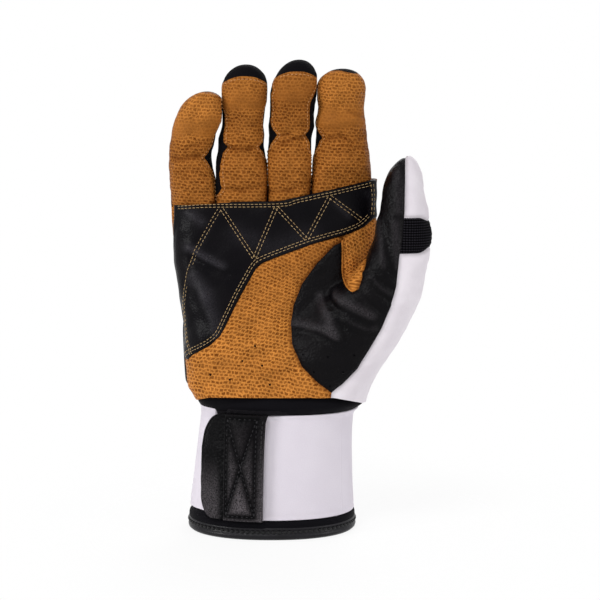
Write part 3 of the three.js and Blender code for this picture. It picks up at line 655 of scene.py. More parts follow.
def nearest(points, targets):
    """Distance from each point to the closest target."""
    tree = KDTree(len(targets))
    for i, t in enumerate(targets):
        tree.insert(t, i)
    tree.balance()
    return np.array([tree.find(p)[2] for p in points])


# Where the seams of the hand run: each field is positive on its own panel

def wrist_arch(p):
    """Positive above the hand's lower edge, which arches over the wrist and dips towards the thumb."""
    x, _, a, _ = section(PALM, np.full(len(p), PALM[0][0]))
    across = np.clip((p[:, 0] - x) / a, -1, 1)
    tilt = 1.2 * smooth(-36, -52, p[:, 0]) - 2.0 * smooth(14, 36, p[:, 0])
    tilt = tilt + 5.0 * smooth(28.5, 36.5, p[:, 0]) ** 2
    return p[:, 2] - PALM[0][0] - PALM_RISE * (1 - across ** 8) - tilt


def knuckle_height(x):
    """Height of the hand's upper edge at an x."""
    line = np.array(KNUCKLE_LINE)
    return monotone(line[:, 0], line[:, 1], x)


def below_knuckles(p):
    """Positive below the finger roots, and on the thumb."""
    return np.maximum(knuckle_height(p[:, 0]) - p[:, 2], thumb_share(p) - 1)


def right_of_thumb_seam(p):
    """The thumb's outer half, seen from the front."""
    return inside_outline(p[:, 0], p[:, 2], THUMB_SEAM + [(13.6, 60), (90, 60), (90, 195)])


def back_field(p):
    """The back of the hand."""
    return p[:, 1] - BACK_SEAM_Y


def web_field(p):
    """The web between palm and thumb, with the tongue that comes down onto the palm."""
    edge = np.minimum(inside_outline(p[:, 0], p[:, 2], WEB_OUTLINE), -thumb_share(p) - 1.0)
    tongue = np.minimum(inside_outline(p[:, 0], p[:, 2], WEB_TONGUE), TONGUE_TOP - p[:, 2])
    return np.maximum(edge, np.minimum(tongue, -thumb_share(p) + 25))


def rib_field(p):
    """The knit insert round the outside of the thumb joint."""
    high = RIB_HALF - RIB_TAPER * smooth(57, 64.5, p[:, 0]) * (p[:, 1] < -19)
    return np.minimum(right_of_thumb_seam(p), high - np.abs(p[:, 2] - RIB_MIDDLE))


def black_field(p):
    """The ball of the thumb and the thumb's front."""
    front = inside_outline(p[:, 0], p[:, 2], THENAR_SEAM + [(21, 195)] + THUMB_SEAM[:-1])
    return np.minimum(front, np.maximum(THUMB_SEAM_Y - p[:, 1], -thumb_share(p)))


def white_field(p):
    """The outside and the back of the thumb."""
    behind = np.minimum(thumb_share(p), p[:, 1] - THUMB_SEAM_Y)
    return np.maximum(np.maximum(right_of_thumb_seam(p), behind), np.minimum(p[:, 0] - 22, p[:, 1] + 13))


def overlay_field(p):
    """The black patch, which ends on the little-finger side of the hand."""
    front = inside_outline(p[:, 0], p[:, 2], OVERLAY_OUTLINE)
    side = OVERLAY_SIDE_Y - 2.6 * smooth(138, 158, p[:, 2]) * (p[:, 0] < 0)
    return np.minimum(np.minimum(front, side - p[:, 1]), -thumb_share(p))


PANEL_FIELDS = {"back": back_field, "web": web_field, "rib": rib_field, "black": black_field,
                "white": white_field}


# The panels of the hand

def fold_height(p):
    """Creases and soft ridges on the palm side."""
    total = np.zeros(len(p))
    for line, width, depth in FOLDS:
        total += depth * bump(line_distance(p[:, 0], p[:, 2], line), 0, width)
    return total * smooth(-2, -10, p[:, 1])


def tuck_depth(p):
    """Sewn tucks down the back of the hand, with soft pads between them."""
    gap = np.min([line_distance(p[:, 0], p[:, 2], line) for line in BACK_TUCKS], axis=0)
    return smooth(4, 10, p[:, 1]) * (0.9 * bump(gap, 0, 1.0) - 0.5 * bump(gap, 5, 3.5))


def build_skin():
    """The hand's skin, trimmed at the wrist and at the finger roots, still in one piece."""
    values = sample_skin()
    points, index = net_vertices(values)
    skin = Skin(settle(points), [list(q) for q in net_quads(values, index)])
    for field in (wrist_arch, below_knuckles):
        skin.cut(field)
        skin.keep(field(skin.centres()) > 0)
    return skin


def vent_offset(p):
    """From the nearest vent hole on the palm side to each point, in the front view."""
    gap = p[:, None, [0, 2]] - np.array(VENTS)[None]
    size = np.hypot(gap[..., 0], gap[..., 1]) + 100.0 * (p[:, 1] > -8)[:, None]
    choice = size.argmin(axis=1)
    return gap[np.arange(len(p)), choice], size[np.arange(len(p)), choice]


def punch_vents(skin):
    """Cuts the small round holes, on polygons first made fine enough for them."""
    for turn in range(4):
        c, d = math.cos(turn * math.pi / 4), math.sin(turn * math.pi / 4)

        def spoke(p):
            gap, size = vent_offset(p)
            return np.where(size < VENT_REACH, gap[:, 0] * c + gap[:, 1] * d, 1.0)

        skin.cut(spoke, within=0.0)
    skin.cut(lambda p: VENT_RADIUS - vent_offset(p)[1], "vent", within=0.0)


def panel_relief(rest, seam):
    """How far panels stand out: padded between seams, rolled at the wrist, sunk under the patch."""
    rim = wrist_arch(rest)
    height = fold_height(rest) + 0.35 * wobble(rest, 24, 3) + 0.12 * wobble(rest, 7, 4)
    height += 0.5 * smooth(0.5, 6, seam) - SEAM_GROOVE * bump(seam, 0, 0.8) * smooth(0.5, 5, rim)
    roll = (1 - smooth(0, 4, rim)) * (1 - 0.7 * smooth(20, 30, rest[:, 0]))
    height += WRIST_ROLL * roll - tuck_depth(rest)
    return height - PATCH_SINK * smooth(-0.6, 0.6, overlay_field(rest))


def cut_panels(skin):
    """Names the panels of the hand and gives them relief: points at rest, and the painted shade along seams
    and in creases.
    """
    punch_vents(skin)
    for name, field in PANEL_FIELDS.items():
        skin.cut(field, name)
    skin.labels = [q or "palm" for q in skin.labels]
    rest = skin.points.copy()
    seam = nearest(rest, skin.seam_points())
    skin.points = rest + panel_relief(rest, seam)[:, None] * unit(gradient(hand_distance, rest))
    # Painted shade along the seams and in the fold creases.
    crease = np.clip(bump(seam, 0, 1.2) * 0.9 + np.clip(-fold_height(rest), 0, 1) * 0.6, 0, 1)
    return rest, crease


# Mesh making

def make(name, points, faces, material, uv=None, normals=None, crease=None, plain=None):
    """A smooth mesh object from millimetres."""
    mesh = bpy.data.meshes.new(name)
    points = np.asarray(points, float)
    mesh.from_pydata(((points + FRAME_SHIFT) * MM).tolist(), [], [[int(i) for i in f] for f in faces])
    mesh.shade_smooth()
    corners = np.zeros(len(mesh.loops), np.int32)
    mesh.loops.foreach_get("vertex_index", corners)
    layer = mesh.uv_layers.new(name="surface")
    if uv is None:
        uv = points[:, [0, 2]]
    layer.data.foreach_set("uv", (np.asarray(uv, float)[corners] * MM).astype(np.float32).ravel())
    # crease carries painted shade; plain carries worn-off embossing on tan leather and painted sheen on black
    # leather.
    for label, values in (("crease", crease), ("plain", plain)):
        values = np.zeros(len(points)) if values is None else values
        attribute = mesh.attributes.new(label, "FLOAT", "POINT")
        attribute.data.foreach_set("value", np.asarray(values, np.float32))
    mesh.validate()
    if normals is not None:
        mesh.normals_split_custom_set_from_vertices(np.asarray(normals, float).tolist())
    piece = bpy.data.objects.new(name, mesh)
    bpy.context.scene.collection.objects.link(piece)
    mesh.materials.append(material)
    return piece


def attach(piece, nodes=(), body="hand", bend=None):
    """Hides the nodes that a piece stands for, and ties the piece to its body; a piece that crosses a joint
    only has its transform baked in.
    """
    if nodes:
        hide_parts(*nodes)
    if bend:
        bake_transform(piece)
    else:
        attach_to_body(piece, body)


def record_point(x, y, z):
    """A point of the part's source in the frame, in metres."""
    return tuple((np.array([x, y, z]) + FRAME_SHIFT) * MM)


def used_part(points, polygons, *arrays):
    """Only the vertices that these polygons use, with their polygons renumbered."""
    used = np.unique(np.concatenate([np.asarray(p) for p in polygons]))
    place = np.full(len(points), -1)
    place[used] = np.arange(len(used))
    faces = [place[p] for p in polygons]
    return points[used], faces, [None if a is None else a[used] for a in arrays]


def grid_faces(rows, columns):
    """Quads of a grid whose vertices are stored row by row."""
    faces = []
    for r in range(rows - 1):
        for c in range(columns - 1):
            a = r * columns + c
            faces.append((a, a + 1, a + columns + 1, a + columns))
    return faces


def mesh_tree(points, faces):
    """A mesh that lines can be laid onto."""
    return BVHTree.FromPolygons([Vector(p) for p in points], [list(map(int, f)) for f in faces])


def stitch_row(path, normals, pitch, length, radius):
    """Short raised threads along a line: each dips into the leather at both ends."""
    path, normals = np.asarray(path, float), np.asarray(normals, float)
    run = run_length(path)
    count = max(int(run[-1] / pitch), 1)
    points, faces = [], []

    def sample(table, at):
        return np.array([np.interp(at, run, table[:, i]) for i in range(3)])

    for n in range(count):
        middle = (n + 0.5) * run[-1] / count
        along = unit(sample(path, middle + 0.3 * length) - sample(path, middle - 0.3 * length))
        up = unit(sample(normals, middle))
        side = unit(np.cross(along, up))
        first = len(points)
        for shift, lift, size in STITCH_STEPS:
            centre = sample(path, middle + shift * length) + up * lift * radius
            for k in range(STITCH_RING):
                turn = 2 * math.pi * k / STITCH_RING
                points.append(centre + size * radius * (math.cos(turn) * side + math.sin(turn) * up))
        faces += capped_rings(first, len(STITCH_STEPS), STITCH_RING)
    return np.array(points), faces


def capped_rings(first, count, ring):
    """Faces of a closed tube whose rings of vertices follow each other."""
    faces = []
    for start in range(first, first + (count - 1) * ring, ring):
        for k in range(ring):
            a, b = start + k, start + (k + 1) % ring
            faces.append((a, a + ring, b + ring, b))
    last = first + (count - 1) * ring
    return faces + [list(range(first, first + ring)), list(range(last, last + ring))[::-1]]


def join(parts):
    """Several lists of points and faces as one."""
    points, faces, start = [], [], 0
    for p, f in parts:
        points.append(p)
        faces += [[i + start for i in face] for face in f]
        start += len(p)
    return np.vstack(points), faces


def sew(name, rows, stitch, thread, bend=None):
    """Rows of stitches as one piece; a row is its points and the normals of what it is sewn to."""
    points, faces = join([stitch_row(path, normals, *stitch) for path, normals in rows])
    attach(make(name, points, faces, thread), bend=bend)


def tube(path, radius, ring=8):
    """A round cord along a line of points."""
    path = np.asarray(path, float)
    along = unit(np.gradient(path, axis=0))
    side = unit(np.cross(along, np.array([0.3, -0.9, 0.2])))
    up = np.cross(side, along)
    points = []
    for p, a, b, r in zip(path, side, up, np.broadcast_to(radius, len(path))):
        for k in range(ring):
            turn = 2 * math.pi * k / ring
            points.append(p + r * (math.cos(turn) * a + math.sin(turn) * b))
    return np.array(points), [face[::-1] for face in capped_rings(0, len(path), ring)]


# Materials

def node(tree, kind, inputs=None, **settings):
    """A shader node; an input is a number, a colour or another node's output."""
    made = tree.nodes.new("ShaderNode" + kind)
    for key, value in settings.items():
        setattr(made, key, value)
    for key, value in (inputs or {}).items():
        if isinstance(value, bpy.types.NodeSocket):
            tree.links.new(value, made.inputs[key])
        else:
            made.inputs[key].default_value = value
    return made


def math_node(tree, operation, a, b=0.0, c=0.0):
    """A sum, product or other operation on values."""
    return node(tree, "Math", {0: a, 1: b, 2: c}, operation=operation).outputs[0]


def times(tree, a, b):
    """The product of two values."""
    return math_node(tree, "MULTIPLY", a, b)


def sine(tree, value, wavelength):
    """Waves along a coordinate."""
    return math_node(tree, "SINE", times(tree, value, 2 * math.pi / wavelength))


def ranged(tree, value, low, high, to_low=0.0, to_high=1.0):
    """A value moved from one range to another, and held inside it."""
    return node(tree, "MapRange", {"Value": value, 1: low, 2: high, 3: to_low, 4: to_high}).outputs[0]


def mix_colour(tree, share, a, b, kind="MIX"):
    """Colour a with a share of colour b."""
    return node(tree, "Mix", {0: share, 6: a, 7: b}, data_type="RGBA", blend_type=kind).outputs[2]


def attribute_value(tree, name):
    """A value that the mesh carries at each vertex."""
    return node(tree, "Attribute", attribute_name=name).outputs["Fac"]


def noise(tree, vector, scale, detail=2.0, roughness=0.5):
    """Soft uneven values from 0 to 1."""
    inputs = {"Vector": vector, "Scale": scale, "Detail": detail, "Roughness": roughness}
    return node(tree, "TexNoise", inputs).outputs[0]


def rgb(r, g, b):
    """A colour seen as red, green and blue out of 255, as light."""
    parts = [v / 255 for v in (r, g, b)]
    return tuple(v / 12.92 if v <= 0.04045 else ((v + 0.055) / 1.055) ** 2.4 for v in parts) + (1.0,)


def new_material(name, roughness, specular, sheen=0.0):
    """An empty material with its gloss."""
    material = bpy.data.materials.new(name)
    material.use_nodes = True
    tree = material.node_tree
    shader = tree.nodes["Principled BSDF"]
    gloss = {"Roughness": roughness, "Specular IOR Level": specular, "Sheen Weight": sheen,
             "Sheen Roughness": 0.4}
    for key, value in gloss.items():
        shader.inputs[key].default_value = value
    return material, tree, shader


def finish_material(tree, shader, colour, height, distance, roughness=None):
    """Links colour, bump of a height in metres, and roughness."""
    tree.links.new(colour, shader.inputs["Base Color"])
    relief = node(tree, "Bump", {"Strength": 1.0, "Distance": distance, "Height": height})
    tree.links.new(relief.outputs[0], shader.inputs["Normal"])
    if roughness is not None:
        tree.links.new(roughness, shader.inputs["Roughness"])


def painted_seam_shade(tree, colour, dark, share, depth):
    """A colour with painted shade mixed in where the mesh's crease attribute is set: along seams and in
    creases.
    """
    deep = tuple(v * depth for v in dark[:3]) + (1.0,)
    return mix_colour(tree, times(tree, attribute_value(tree, "crease"), share), colour, deep)


def embossing(tree, uv):
    """Staggered dashes that drift a little and are worn off in places, and the fine grain on them."""
    drift = node(tree, "TexNoise", {"Vector": uv, "Scale": 260.0, "Detail": 2.0}).outputs[1]
    drift = node(tree, "VectorMath", {0: drift, 1: (-0.5, -0.5, -0.5)}, operation="ADD").outputs[0]
    drift = node(tree, "VectorMath", {0: drift, "Scale": 0.0026}, operation="SCALE").outputs[0]
    place = node(tree, "VectorMath", {0: uv, 1: drift}, operation="ADD").outputs[0]
    cells = node(tree, "TexBrick", {
        "Vector": place, "Scale": DASH_SCALE, "Mortar Size": 0.06, "Mortar Smooth": 1.0, "Bias": 0.0,
        "Brick Width": DASH_LENGTH * MM * DASH_SCALE, "Row Height": DASH_ROW * MM * DASH_SCALE,
        "Color1": (0, 0, 0, 1), "Color2": (0.3, 0.3, 0.3, 1), "Mortar": (1, 1, 1, 1)}, offset=0.5)
    ridge = node(tree, "RGBToBW", {0: cells.outputs["Color"]}).outputs[0]
    fine = noise(tree, uv, 1500.0)
    ridge = math_node(tree, "MULTIPLY_ADD", fine, 0.6, times(tree, ridge, 0.75))
    faded = ranged(tree, noise(tree, uv, 130.0), 0.45, 0.7, 0.0, 0.38)
    faded = math_node(tree, "MAXIMUM", attribute_value(tree, "plain"), faded)
    return node(tree, "Mix", {0: faded, 2: ridge, 3: 0.58}).outputs[0], fine


def tan_leather():
    """Goat leather embossed with staggered rows of short dashes, darkened by painted shade where the crease
    attribute says.
    """
    material, tree, shader = new_material("tan_leather", 0.5, 0.04)
    uv = node(tree, "TexCoord").outputs["UV"]
    shown, fine = embossing(tree, uv)
    ramp = node(tree, "ValToRGB", {"Fac": shown})
    colours = rgb(98, 47, 5), rgb(207, 134, 60)
    for end, place, colour in zip(ramp.color_ramp.elements, (0.23, 0.88), colours):
        end.position = place
        end.color = colour
    tone = ranged(tree, noise(tree, uv, 90.0, 3.0), 0.3, 0.7, 0.76, 1.08)
    colour = mix_colour(tree, 1.0, ramp.outputs[0], tone, "MULTIPLY")
    # Painted shade: darker brown along seams, in creases, towards the palm's top and over the fingers.
    colour = mix_colour(tree, times(tree, attribute_value(tree, "crease"), 0.7), colour, rgb(88, 40, 4))
    height = math_node(tree, "ADD", shown, times(tree, fine, 0.35))
    finish_material(tree, shader, colour, height, 0.0005, ranged(tree, shown, 0.0, 1.0, 0.62, 0.42))
    return material


def smooth_leather(name, dark, light, grain, roughness, specular, depth, painted_sheen=None):
    """Plain leather with a fine pebble, soft mottling, painted shade along seams and in creases, and paler
    grain painted on as sheen where the plain attribute asks for it.
    """
    material, tree, shader = new_material(name, roughness, specular)
    place = node(tree, "TexCoord").outputs["Object"]
    pebble = node(tree, "TexVoronoi", {"Vector": place, "Scale": grain, "Randomness": 1.0},
                  feature="SMOOTH_F1").outputs["Distance"]
    fine = noise(tree, place, grain * 2.2, 3.0)
    patch = noise(tree, place, 70.0, 4.0, 0.6)
    colour = mix_colour(tree, ranged(tree, patch, 0.3, 0.7), dark, light)
    # Painted shade along seams and in creases.
    colour = painted_seam_shade(tree, colour, dark, 0.55, 0.25)
    # Painted sheen: paler grain where highlights fall, as the plain attribute says.
    if painted_sheen is not None:
        sheen_share = times(tree, ranged(tree, fine, 0.3, 0.68), attribute_value(tree, "plain"))
        colour = mix_colour(tree, sheen_share, colour, painted_sheen)
    height = math_node(tree, "MULTIPLY_ADD", fine, 0.5, pebble)
    rough = ranged(tree, patch, 0.25, 0.75, roughness - 0.07, roughness + 0.09)
    finish_material(tree, shader, colour, height, depth, rough)
    return material


def woven(name, dark, light, thread, roughness, specular, depth, sheen=0.0):
    """A fine weave: threads that cross at right angles on the surface."""
    material, tree, shader = new_material(name, roughness, specular, sheen)
    uv = node(tree, "TexCoord").outputs["UV"]
    across, along = (sine(tree, part, thread) for part in node(tree, "SeparateXYZ", {0: uv}).outputs[:2])
    height = math_node(tree, "MULTIPLY_ADD", times(tree, across, along), 0.35, noise(tree, uv, 1800.0, 3.0))
    patch = times(tree, noise(tree, uv, 60.0, 3.0), 0.6)
    colour = mix_colour(tree, math_node(tree, "MULTIPLY_ADD", height, 0.45, patch), dark, light)
    # Painted shade along seams and in creases.
    colour = painted_seam_shade(tree, colour, dark, 0.6, 0.3)
    finish_material(tree, shader, colour, height, depth)
    return material


def rib_knit():
    """Ribbed knit: close rows of loops that stand in columns."""
    material, tree, shader = new_material("rib_knit", 0.85, 0.03)
    parts = node(tree, "SeparateXYZ", {0: node(tree, "TexCoord").outputs["UV"]}).outputs
    rows, loops = sine(tree, parts[1], RIB_ROW), sine(tree, parts[0], RIB_LOOP)
    height = math_node(tree, "MULTIPLY_ADD", rows, 0.6, times(tree, loops, 0.4))
    colour = mix_colour(tree, ranged(tree, height, -0.2, 0.9), rgb(1, 1, 2), rgb(40, 38, 43))
    finish_material(tree, shader, colour, height, 0.0003)
    return material


def thread_material(name, dark, light):
    """Twisted sewing thread."""
    material, tree, shader = new_material(name, 0.6, 0.3, 0.1)
    place = node(tree, "TexCoord").outputs["Object"]
    twist = node(tree, "TexWave", {"Vector": place, "Scale": 900.0, "Distortion": 2.0},
                 bands_direction="DIAGONAL").outputs["Fac"]
    colour = mix_colour(tree, twist, dark, light)
    finish_material(tree, shader, colour, twist, 0.00006)
    return material


TAN = tan_leather()
# Where a leather has a pale last colour, that colour is painted sheen.
BLACK = smooth_leather("black_leather", rgb(5, 4, 7), rgb(10, 8, 11), grain=1150.0, roughness=0.3,
                       specular=0.06, depth=0.00012, painted_sheen=rgb(76, 73, 79))
GRAIN = smooth_leather("thumb_leather", rgb(5, 4, 6), rgb(11, 9, 11), grain=850.0, roughness=0.32,
                       specular=0.07, depth=0.0003, painted_sheen=rgb(86, 81, 85))
WHITE = smooth_leather("white_leather", rgb(217, 210, 217), rgb(227, 221, 227), grain=1300.0, roughness=0.5,
                       specular=0.2, depth=0.00006)
TAB_LEATHER = smooth_leather("tab_leather", rgb(2, 2, 3), rgb(5, 4, 6), grain=800.0, roughness=0.28,
                             specular=0.045, depth=0.00034, painted_sheen=rgb(112, 106, 110))
BINDING = smooth_leather("binding_leather", rgb(9, 8, 12), rgb(22, 20, 25), grain=1000.0, roughness=0.34,
                         specular=0.2, depth=0.00012)
STRETCH = woven("stretch_knit", rgb(6, 5, 8), rgb(17, 15, 19), thread=0.0007, roughness=0.8, specular=0.05,
                depth=0.00014, sheen=0.02)
RIB = rib_knit()
ELASTIC = woven("white_elastic", rgb(211, 204, 215), rgb(229, 223, 231), thread=0.0006, roughness=0.7,
                specular=0.15, depth=0.00009)
NEOPRENE = woven("neoprene", rgb(5, 4, 8), rgb(13, 12, 16), thread=0.0005, roughness=0.75, specular=0.06,
                 depth=0.00008, sheen=0.02)
HOOKS = woven("hook_and_loop", rgb(7, 6, 8), rgb(28, 26, 30), thread=0.0009, roughness=0.9, specular=0.06,
              depth=0.0004, sheen=0.05)
GOLD_THREAD = thread_material("gold_thread", rgb(142, 110, 64), rgb(216, 186, 134))
TAN_THREAD = thread_material("tan_thread", rgb(160, 102, 52), rgb(210, 156, 100))
WHITE_THREAD = thread_material("white_thread", rgb(190, 182, 192), rgb(232, 226, 232))
BLACK_THREAD = thread_material("black_thread", rgb(1, 1, 2), rgb(8, 7, 9))
TAB_THREAD = thread_material("tab_thread", rgb(8, 8, 10), rgb(38, 35, 40))

# Panels of the hand: piece, material, slot, nodes it stands for, and whether it bends with the thumb
PANELS = {
    "palm": ("palm_leather", TAN, "tan_leather", ["palm_panel"], False),
    "web": ("thumb_web", TAN, "tan_leather", ["thumb_web_gusset"], False),
    "back": ("back_leather", WHITE, "white_leather", ["back_panel"], False),
    "black": ("thumb_leather", GRAIN, "black_leather", ["thenar_panel", "thumb_front"], True),
    "white": ("thumb_shell", WHITE, "white_leather", ["thumb_base_panel", "thumb_back"], True),
    "rib": ("thumb_rib", RIB, "rib_knit", ["thumb_rib_insert"], True),
}

# Painted shade that makes panels darker towards the top: how much, and from which height to which
PANEL_TOP_SHADE = {"palm": (0.42, 98, 148), "white": (0.12, 156, 166)}


# The hand

def arc_uv(p, flatness=0.36, half_width=49):
    """Width round the palm and height, so that the embossing keeps its size at the edges."""
    angles = np.linspace(-math.pi, math.pi, 361)
    r = oval_radius(angles, 1.0, 1.0, flatness, PALM_ROUNDNESS)
    run = run_length(np.stack([r * np.sin(angles), -r * np.cos(angles)], axis=1))
    run -= run[len(run) // 2]
    x, y, a, b = section(PALM, p[:, 2])
    turn = np.arctan2((p[:, 0] - x) / a, -(p[:, 1] - y) / b * flatness)
    u = np.interp(turn, angles, run) * half_width
    tilt = 0.14 + 0.2 * smooth(80, 140, p[:, 2])
    return np.stack([u - tilt * p[:, 2], p[:, 2] + tilt * u + 0.002 * u * u], axis=1)


def sewn_line(tree, line, side=-1):
    """A front-view line laid onto a mesh, on the palm side or the back: points and normals."""
    points, normals = [], []
    for x, z in line:
        hit, normal, _, _ = tree.ray_cast(Vector((x, 120 * side, z)), Vector((0, -side, 0)))
        if hit is not None:
            points.append(np.array(hit))
            normals.append(np.array(normal))
    return np.array(points), np.array(normals)


def patch_relief(rest, edge):
    """How far the patch stands out: turned at its edge, padded, and sewn down along its lines."""
    height = fold_height(rest) + 0.35 * wobble(rest, 24, 3) + 0.15 * wobble(rest, 9, 8)
    height += OVERLAY_THICKNESS * (0.35 + 0.65 * np.sqrt(np.clip(edge / OVERLAY_BANDS[-1], 0, 1)))
    height += 0.35 * smooth(1, 8, edge) - 0.3 * bump(edge, 2.2, 0.8)
    for line in (ZIGZAG, curve_through(HEEL_ROW)):
        height -= 0.5 * smooth(1, 4, edge) * bump(line_distance(rest[:, 0], rest[:, 2], line), 0, 1.4)
    return height


def open_rim(polygons):
    """Edges that belong to one polygon alone."""
    edges = dict.fromkeys(edge for polygon in polygons for edge in edges_of(polygon))
    return [(i, j) for i, j in edges if (j, i) not in edges]


def make_overlay(skin):
    """The black patch: a raised sheet with a turned edge over the finger roots and the heel of the hand."""
    patch = skin.copy()
    for inset in OVERLAY_BANDS:
        patch.cut(lambda p, d=inset: overlay_field(p) - d, within=0.2 if inset else 0.3)
    patch.keep(overlay_field(patch.centres()) > 0)
    rest = patch.points
    normal = unit(gradient(hand_distance, rest))
    height = patch_relief(rest, np.clip(overlay_field(rest), 0, 40))
    rim = open_rim(patch.polygons)
    lower = {i: len(rest) + n for n, i in enumerate(sorted({i for edge in rim for i in edge}))}
    turned = list(lower)
    points = np.vstack([rest + height[:, None] * normal, rest[turned] - PATCH_SINK * normal[turned]])
    faces = patch.polygons + [[j, i, lower[i], lower[j]] for i, j in rim]
    # Painted sheen along the patch's raised folds.
    painted_sheen = 0.7 * np.clip(fold_height(np.vstack([rest, rest[turned]])), 0, 1)
    points, faces, (painted_sheen,) = used_part(points, faces, painted_sheen)
    piece = make("palm_patch", points, faces, BLACK, plain=painted_sheen)
    attach(piece, ["palm_overlay"])
    return mesh_tree(points, faces)


def heel_line(tree):
    """The heel row laid onto the patch along the palm's own normals: points and normals."""
    x, z = curve_through(HEEL_ROW).T
    centre, _, a, b = section(PALM, z)
    share = np.clip((centre - x) / (a + OVERLAY_RISE), 0, 0.97)
    y = -(b + OVERLAY_RISE) * (1 - share ** PALM_ROUNDNESS) ** (1 / PALM_ROUNDNESS)
    place = np.stack([x, y, z], axis=1)
    out = unit(gradient(palm_distance, place))
    hits = [tree.ray_cast(Vector(p + 8 * n), Vector(-n)) for p, n in zip(place, out)]
    return np.array([h[0] for h in hits]), out


def sew_overlay(tree):
    """Double rows of gold thread round the patch, across it in a zigzag, and down its heel side."""
    top, bottom = curve_through(OVERLAY_TOP[1:-1], 30), curve_through(OVERLAY_BOTTOM, 12)
    edges = ((top, (-1.2, -2.5)), (bottom, (1.9, 3.2)), (curve_through(PATCH_END, 12), (1.2, 2.5)))
    rows = [offset_line(line, inset) for line, insets in edges for inset in insets]
    for a, b in zip(ZIGZAG, ZIGZAG[1:]):
        rows += [offset_line(np.linspace(a, b, 30), shift) for shift in DOUBLE_ROW]
    sewn = [sewn_line(tree, row) for row in rows]
    points, normals = heel_line(tree)
    across = unit(np.cross(normals, np.gradient(points, axis=0)))
    sewn += [(points + shift * across, normals) for shift in DOUBLE_ROW]
    sew("patch_stitches", sewn, PATCH_STITCH, GOLD_THREAD)


def make_vents(skin, rest):
    """The dark floor of each vent hole, a little below the leather and wider than the hole."""
    points, faces, (place,) = used_part(skin.points, skin.panel("vent"), rest)
    gap, _ = vent_offset(place)
    wider = VENT_SPREAD * np.stack([gap[:, 0], 0 * gap[:, 0], gap[:, 1]], axis=1)
    points = points + wider - VENT_DEPTH * unit(gradient(hand_distance, place))
    attach(make("vent_holes", points, faces, NEOPRENE))


def sew_back(tree):
    """White thread along the knuckle edge of the back and beside its tucks."""
    x = np.linspace(-58, 32, 120)
    rows = [np.stack([x, knuckle_height(x) - KNUCKLE_ROW], axis=1)]
    for line in BACK_TUCKS:
        rows += [offset_line(curve_through(line, 20), shift) for shift in TUCK_ROWS]
    sewn = [sewn_line(tree, row, 1) for row in rows]
    sew("back_stitches", sewn, BACK_STITCH, WHITE_THREAD)


def make_web_edge(tree):
    """The rolled edge of the thumb web's tongue."""
    path, _ = sewn_line(tree, curve_through(WEB_EDGE))
    points, faces = tube(path, WEB_EDGE_RADIUS)
    attach(make("web_edge", points, faces, TAN, plain=np.full(len(points), 0.8)))


def make_piping():
    """Black piping in the seam between palm and back, on the little-finger side."""
    z = np.linspace(PIPING_BOTTOM, PIPING_TOP, 90)
    x, _, a, b = section(PALM, z)
    y = np.full(z.shape, BACK_SEAM_Y)
    edge = x - a * (1 - (y / b) ** PALM_ROUNDNESS) ** (1 / PALM_ROUNDNESS)
    radius = PIPING_RADIUS * (0.4 + 0.6 * smooth(0, 4, np.minimum(z - z[0], z[-1] - z)))
    proud = 0.15 + 1.3 * (1 - smooth(98, 112, z))
    points, faces = tube(np.stack([edge - proud, y, z], axis=1), radius)
    attach(make("side_piping", points, faces, BINDING))


def make_webs():
    """Stretch saddles that close the crotches between the fingers."""
    t = np.linspace(-1, 1, SADDLE_POINTS)
    across, deep = np.meshgrid(t, t)
    parts = []
    for x, z in FINGER_WEBS:
        high = z + SADDLE_RISE * across ** 2 - SADDLE_DROP * deep ** 2
        saddle = np.stack([x + SADDLE_WIDE * across, SADDLE_DEEP * deep, high], axis=-1).reshape(-1, 3)
        parts.append((saddle, grid_faces(SADDLE_POINTS, SADDLE_POINTS)))
    attach(make("finger_webs", *join(parts), STRETCH))


def beside_patch(rest):
    """Where the palm shows: not well under the patch, and not above its top edge."""
    top = np.interp(rest[:, 0], *np.array(OVERLAY_TOP).T) - 0.8
    above = (rest[:, 2] > top) & (rest[:, 1] < -3.5) & (thumb_share(rest) < 0)
    return (overlay_field(rest) < 2.0) & ~above


def make_panel(label, points, faces, uv, normals, crease, rest, painted_sheen):
    """One panel of the hand; the knit insert has real ribs."""
    name, material, slot, nodes, bends = PANELS[label]
    if label == "rib":
        points = points + 0.1 * np.cos(2 * math.pi * rest[:, 2:] / RIB_PITCH) * normals
        uv = np.stack([rest[:, 0] + rest[:, 1], rest[:, 2]], axis=1)
        normals = None
    # Painted shade, darker towards the top, added to the crease attribute.
    if label in PANEL_TOP_SHADE:
        depth, low, high = PANEL_TOP_SHADE[label]
        crease = crease + depth * smooth(low, high, rest[:, 2])
    # The black panel carries its painted sheen in the plain attribute.
    piece = make(name, points, faces, material, uv, normals, crease, painted_sheen if label == "black" else None)
    thumb = ("hand", "thumb", *(record_point(*p) for p in THUMB_BEND))
    attach(piece, nodes, bend=thumb if bends else None)


def make_hand():
    """Palm, back, web, thenar, thumb and rib panels from one skin, and the patch over it."""
    skin = build_skin()
    sew_overlay(make_overlay(skin))
    rest, crease = cut_panels(skin)
    make_vents(skin, rest)
    tree = mesh_tree(skin.points, skin.polygons)
    make_web_edge(tree)
    sew_back(tree)
    # Painted sheen on fold ridges, used by the black thumb panel only.
    painted_sheen = 0.5 * np.clip(fold_height(rest) - 0.1, 0, 1) * smooth(94, 102, rest[:, 2])
    surface = (arc_uv(rest), skin.normals(), crease, rest, painted_sheen)
    shown = beside_patch(rest)
    for label in PANELS:
        polygons = skin.panel(label)
        if label in ("palm", "web"):
            polygons = [p for p in polygons if shown[p].all()]
        points, faces, values = used_part(skin.points, polygons, *surface)
        make_panel(label, points, faces, *values)


# The fingers

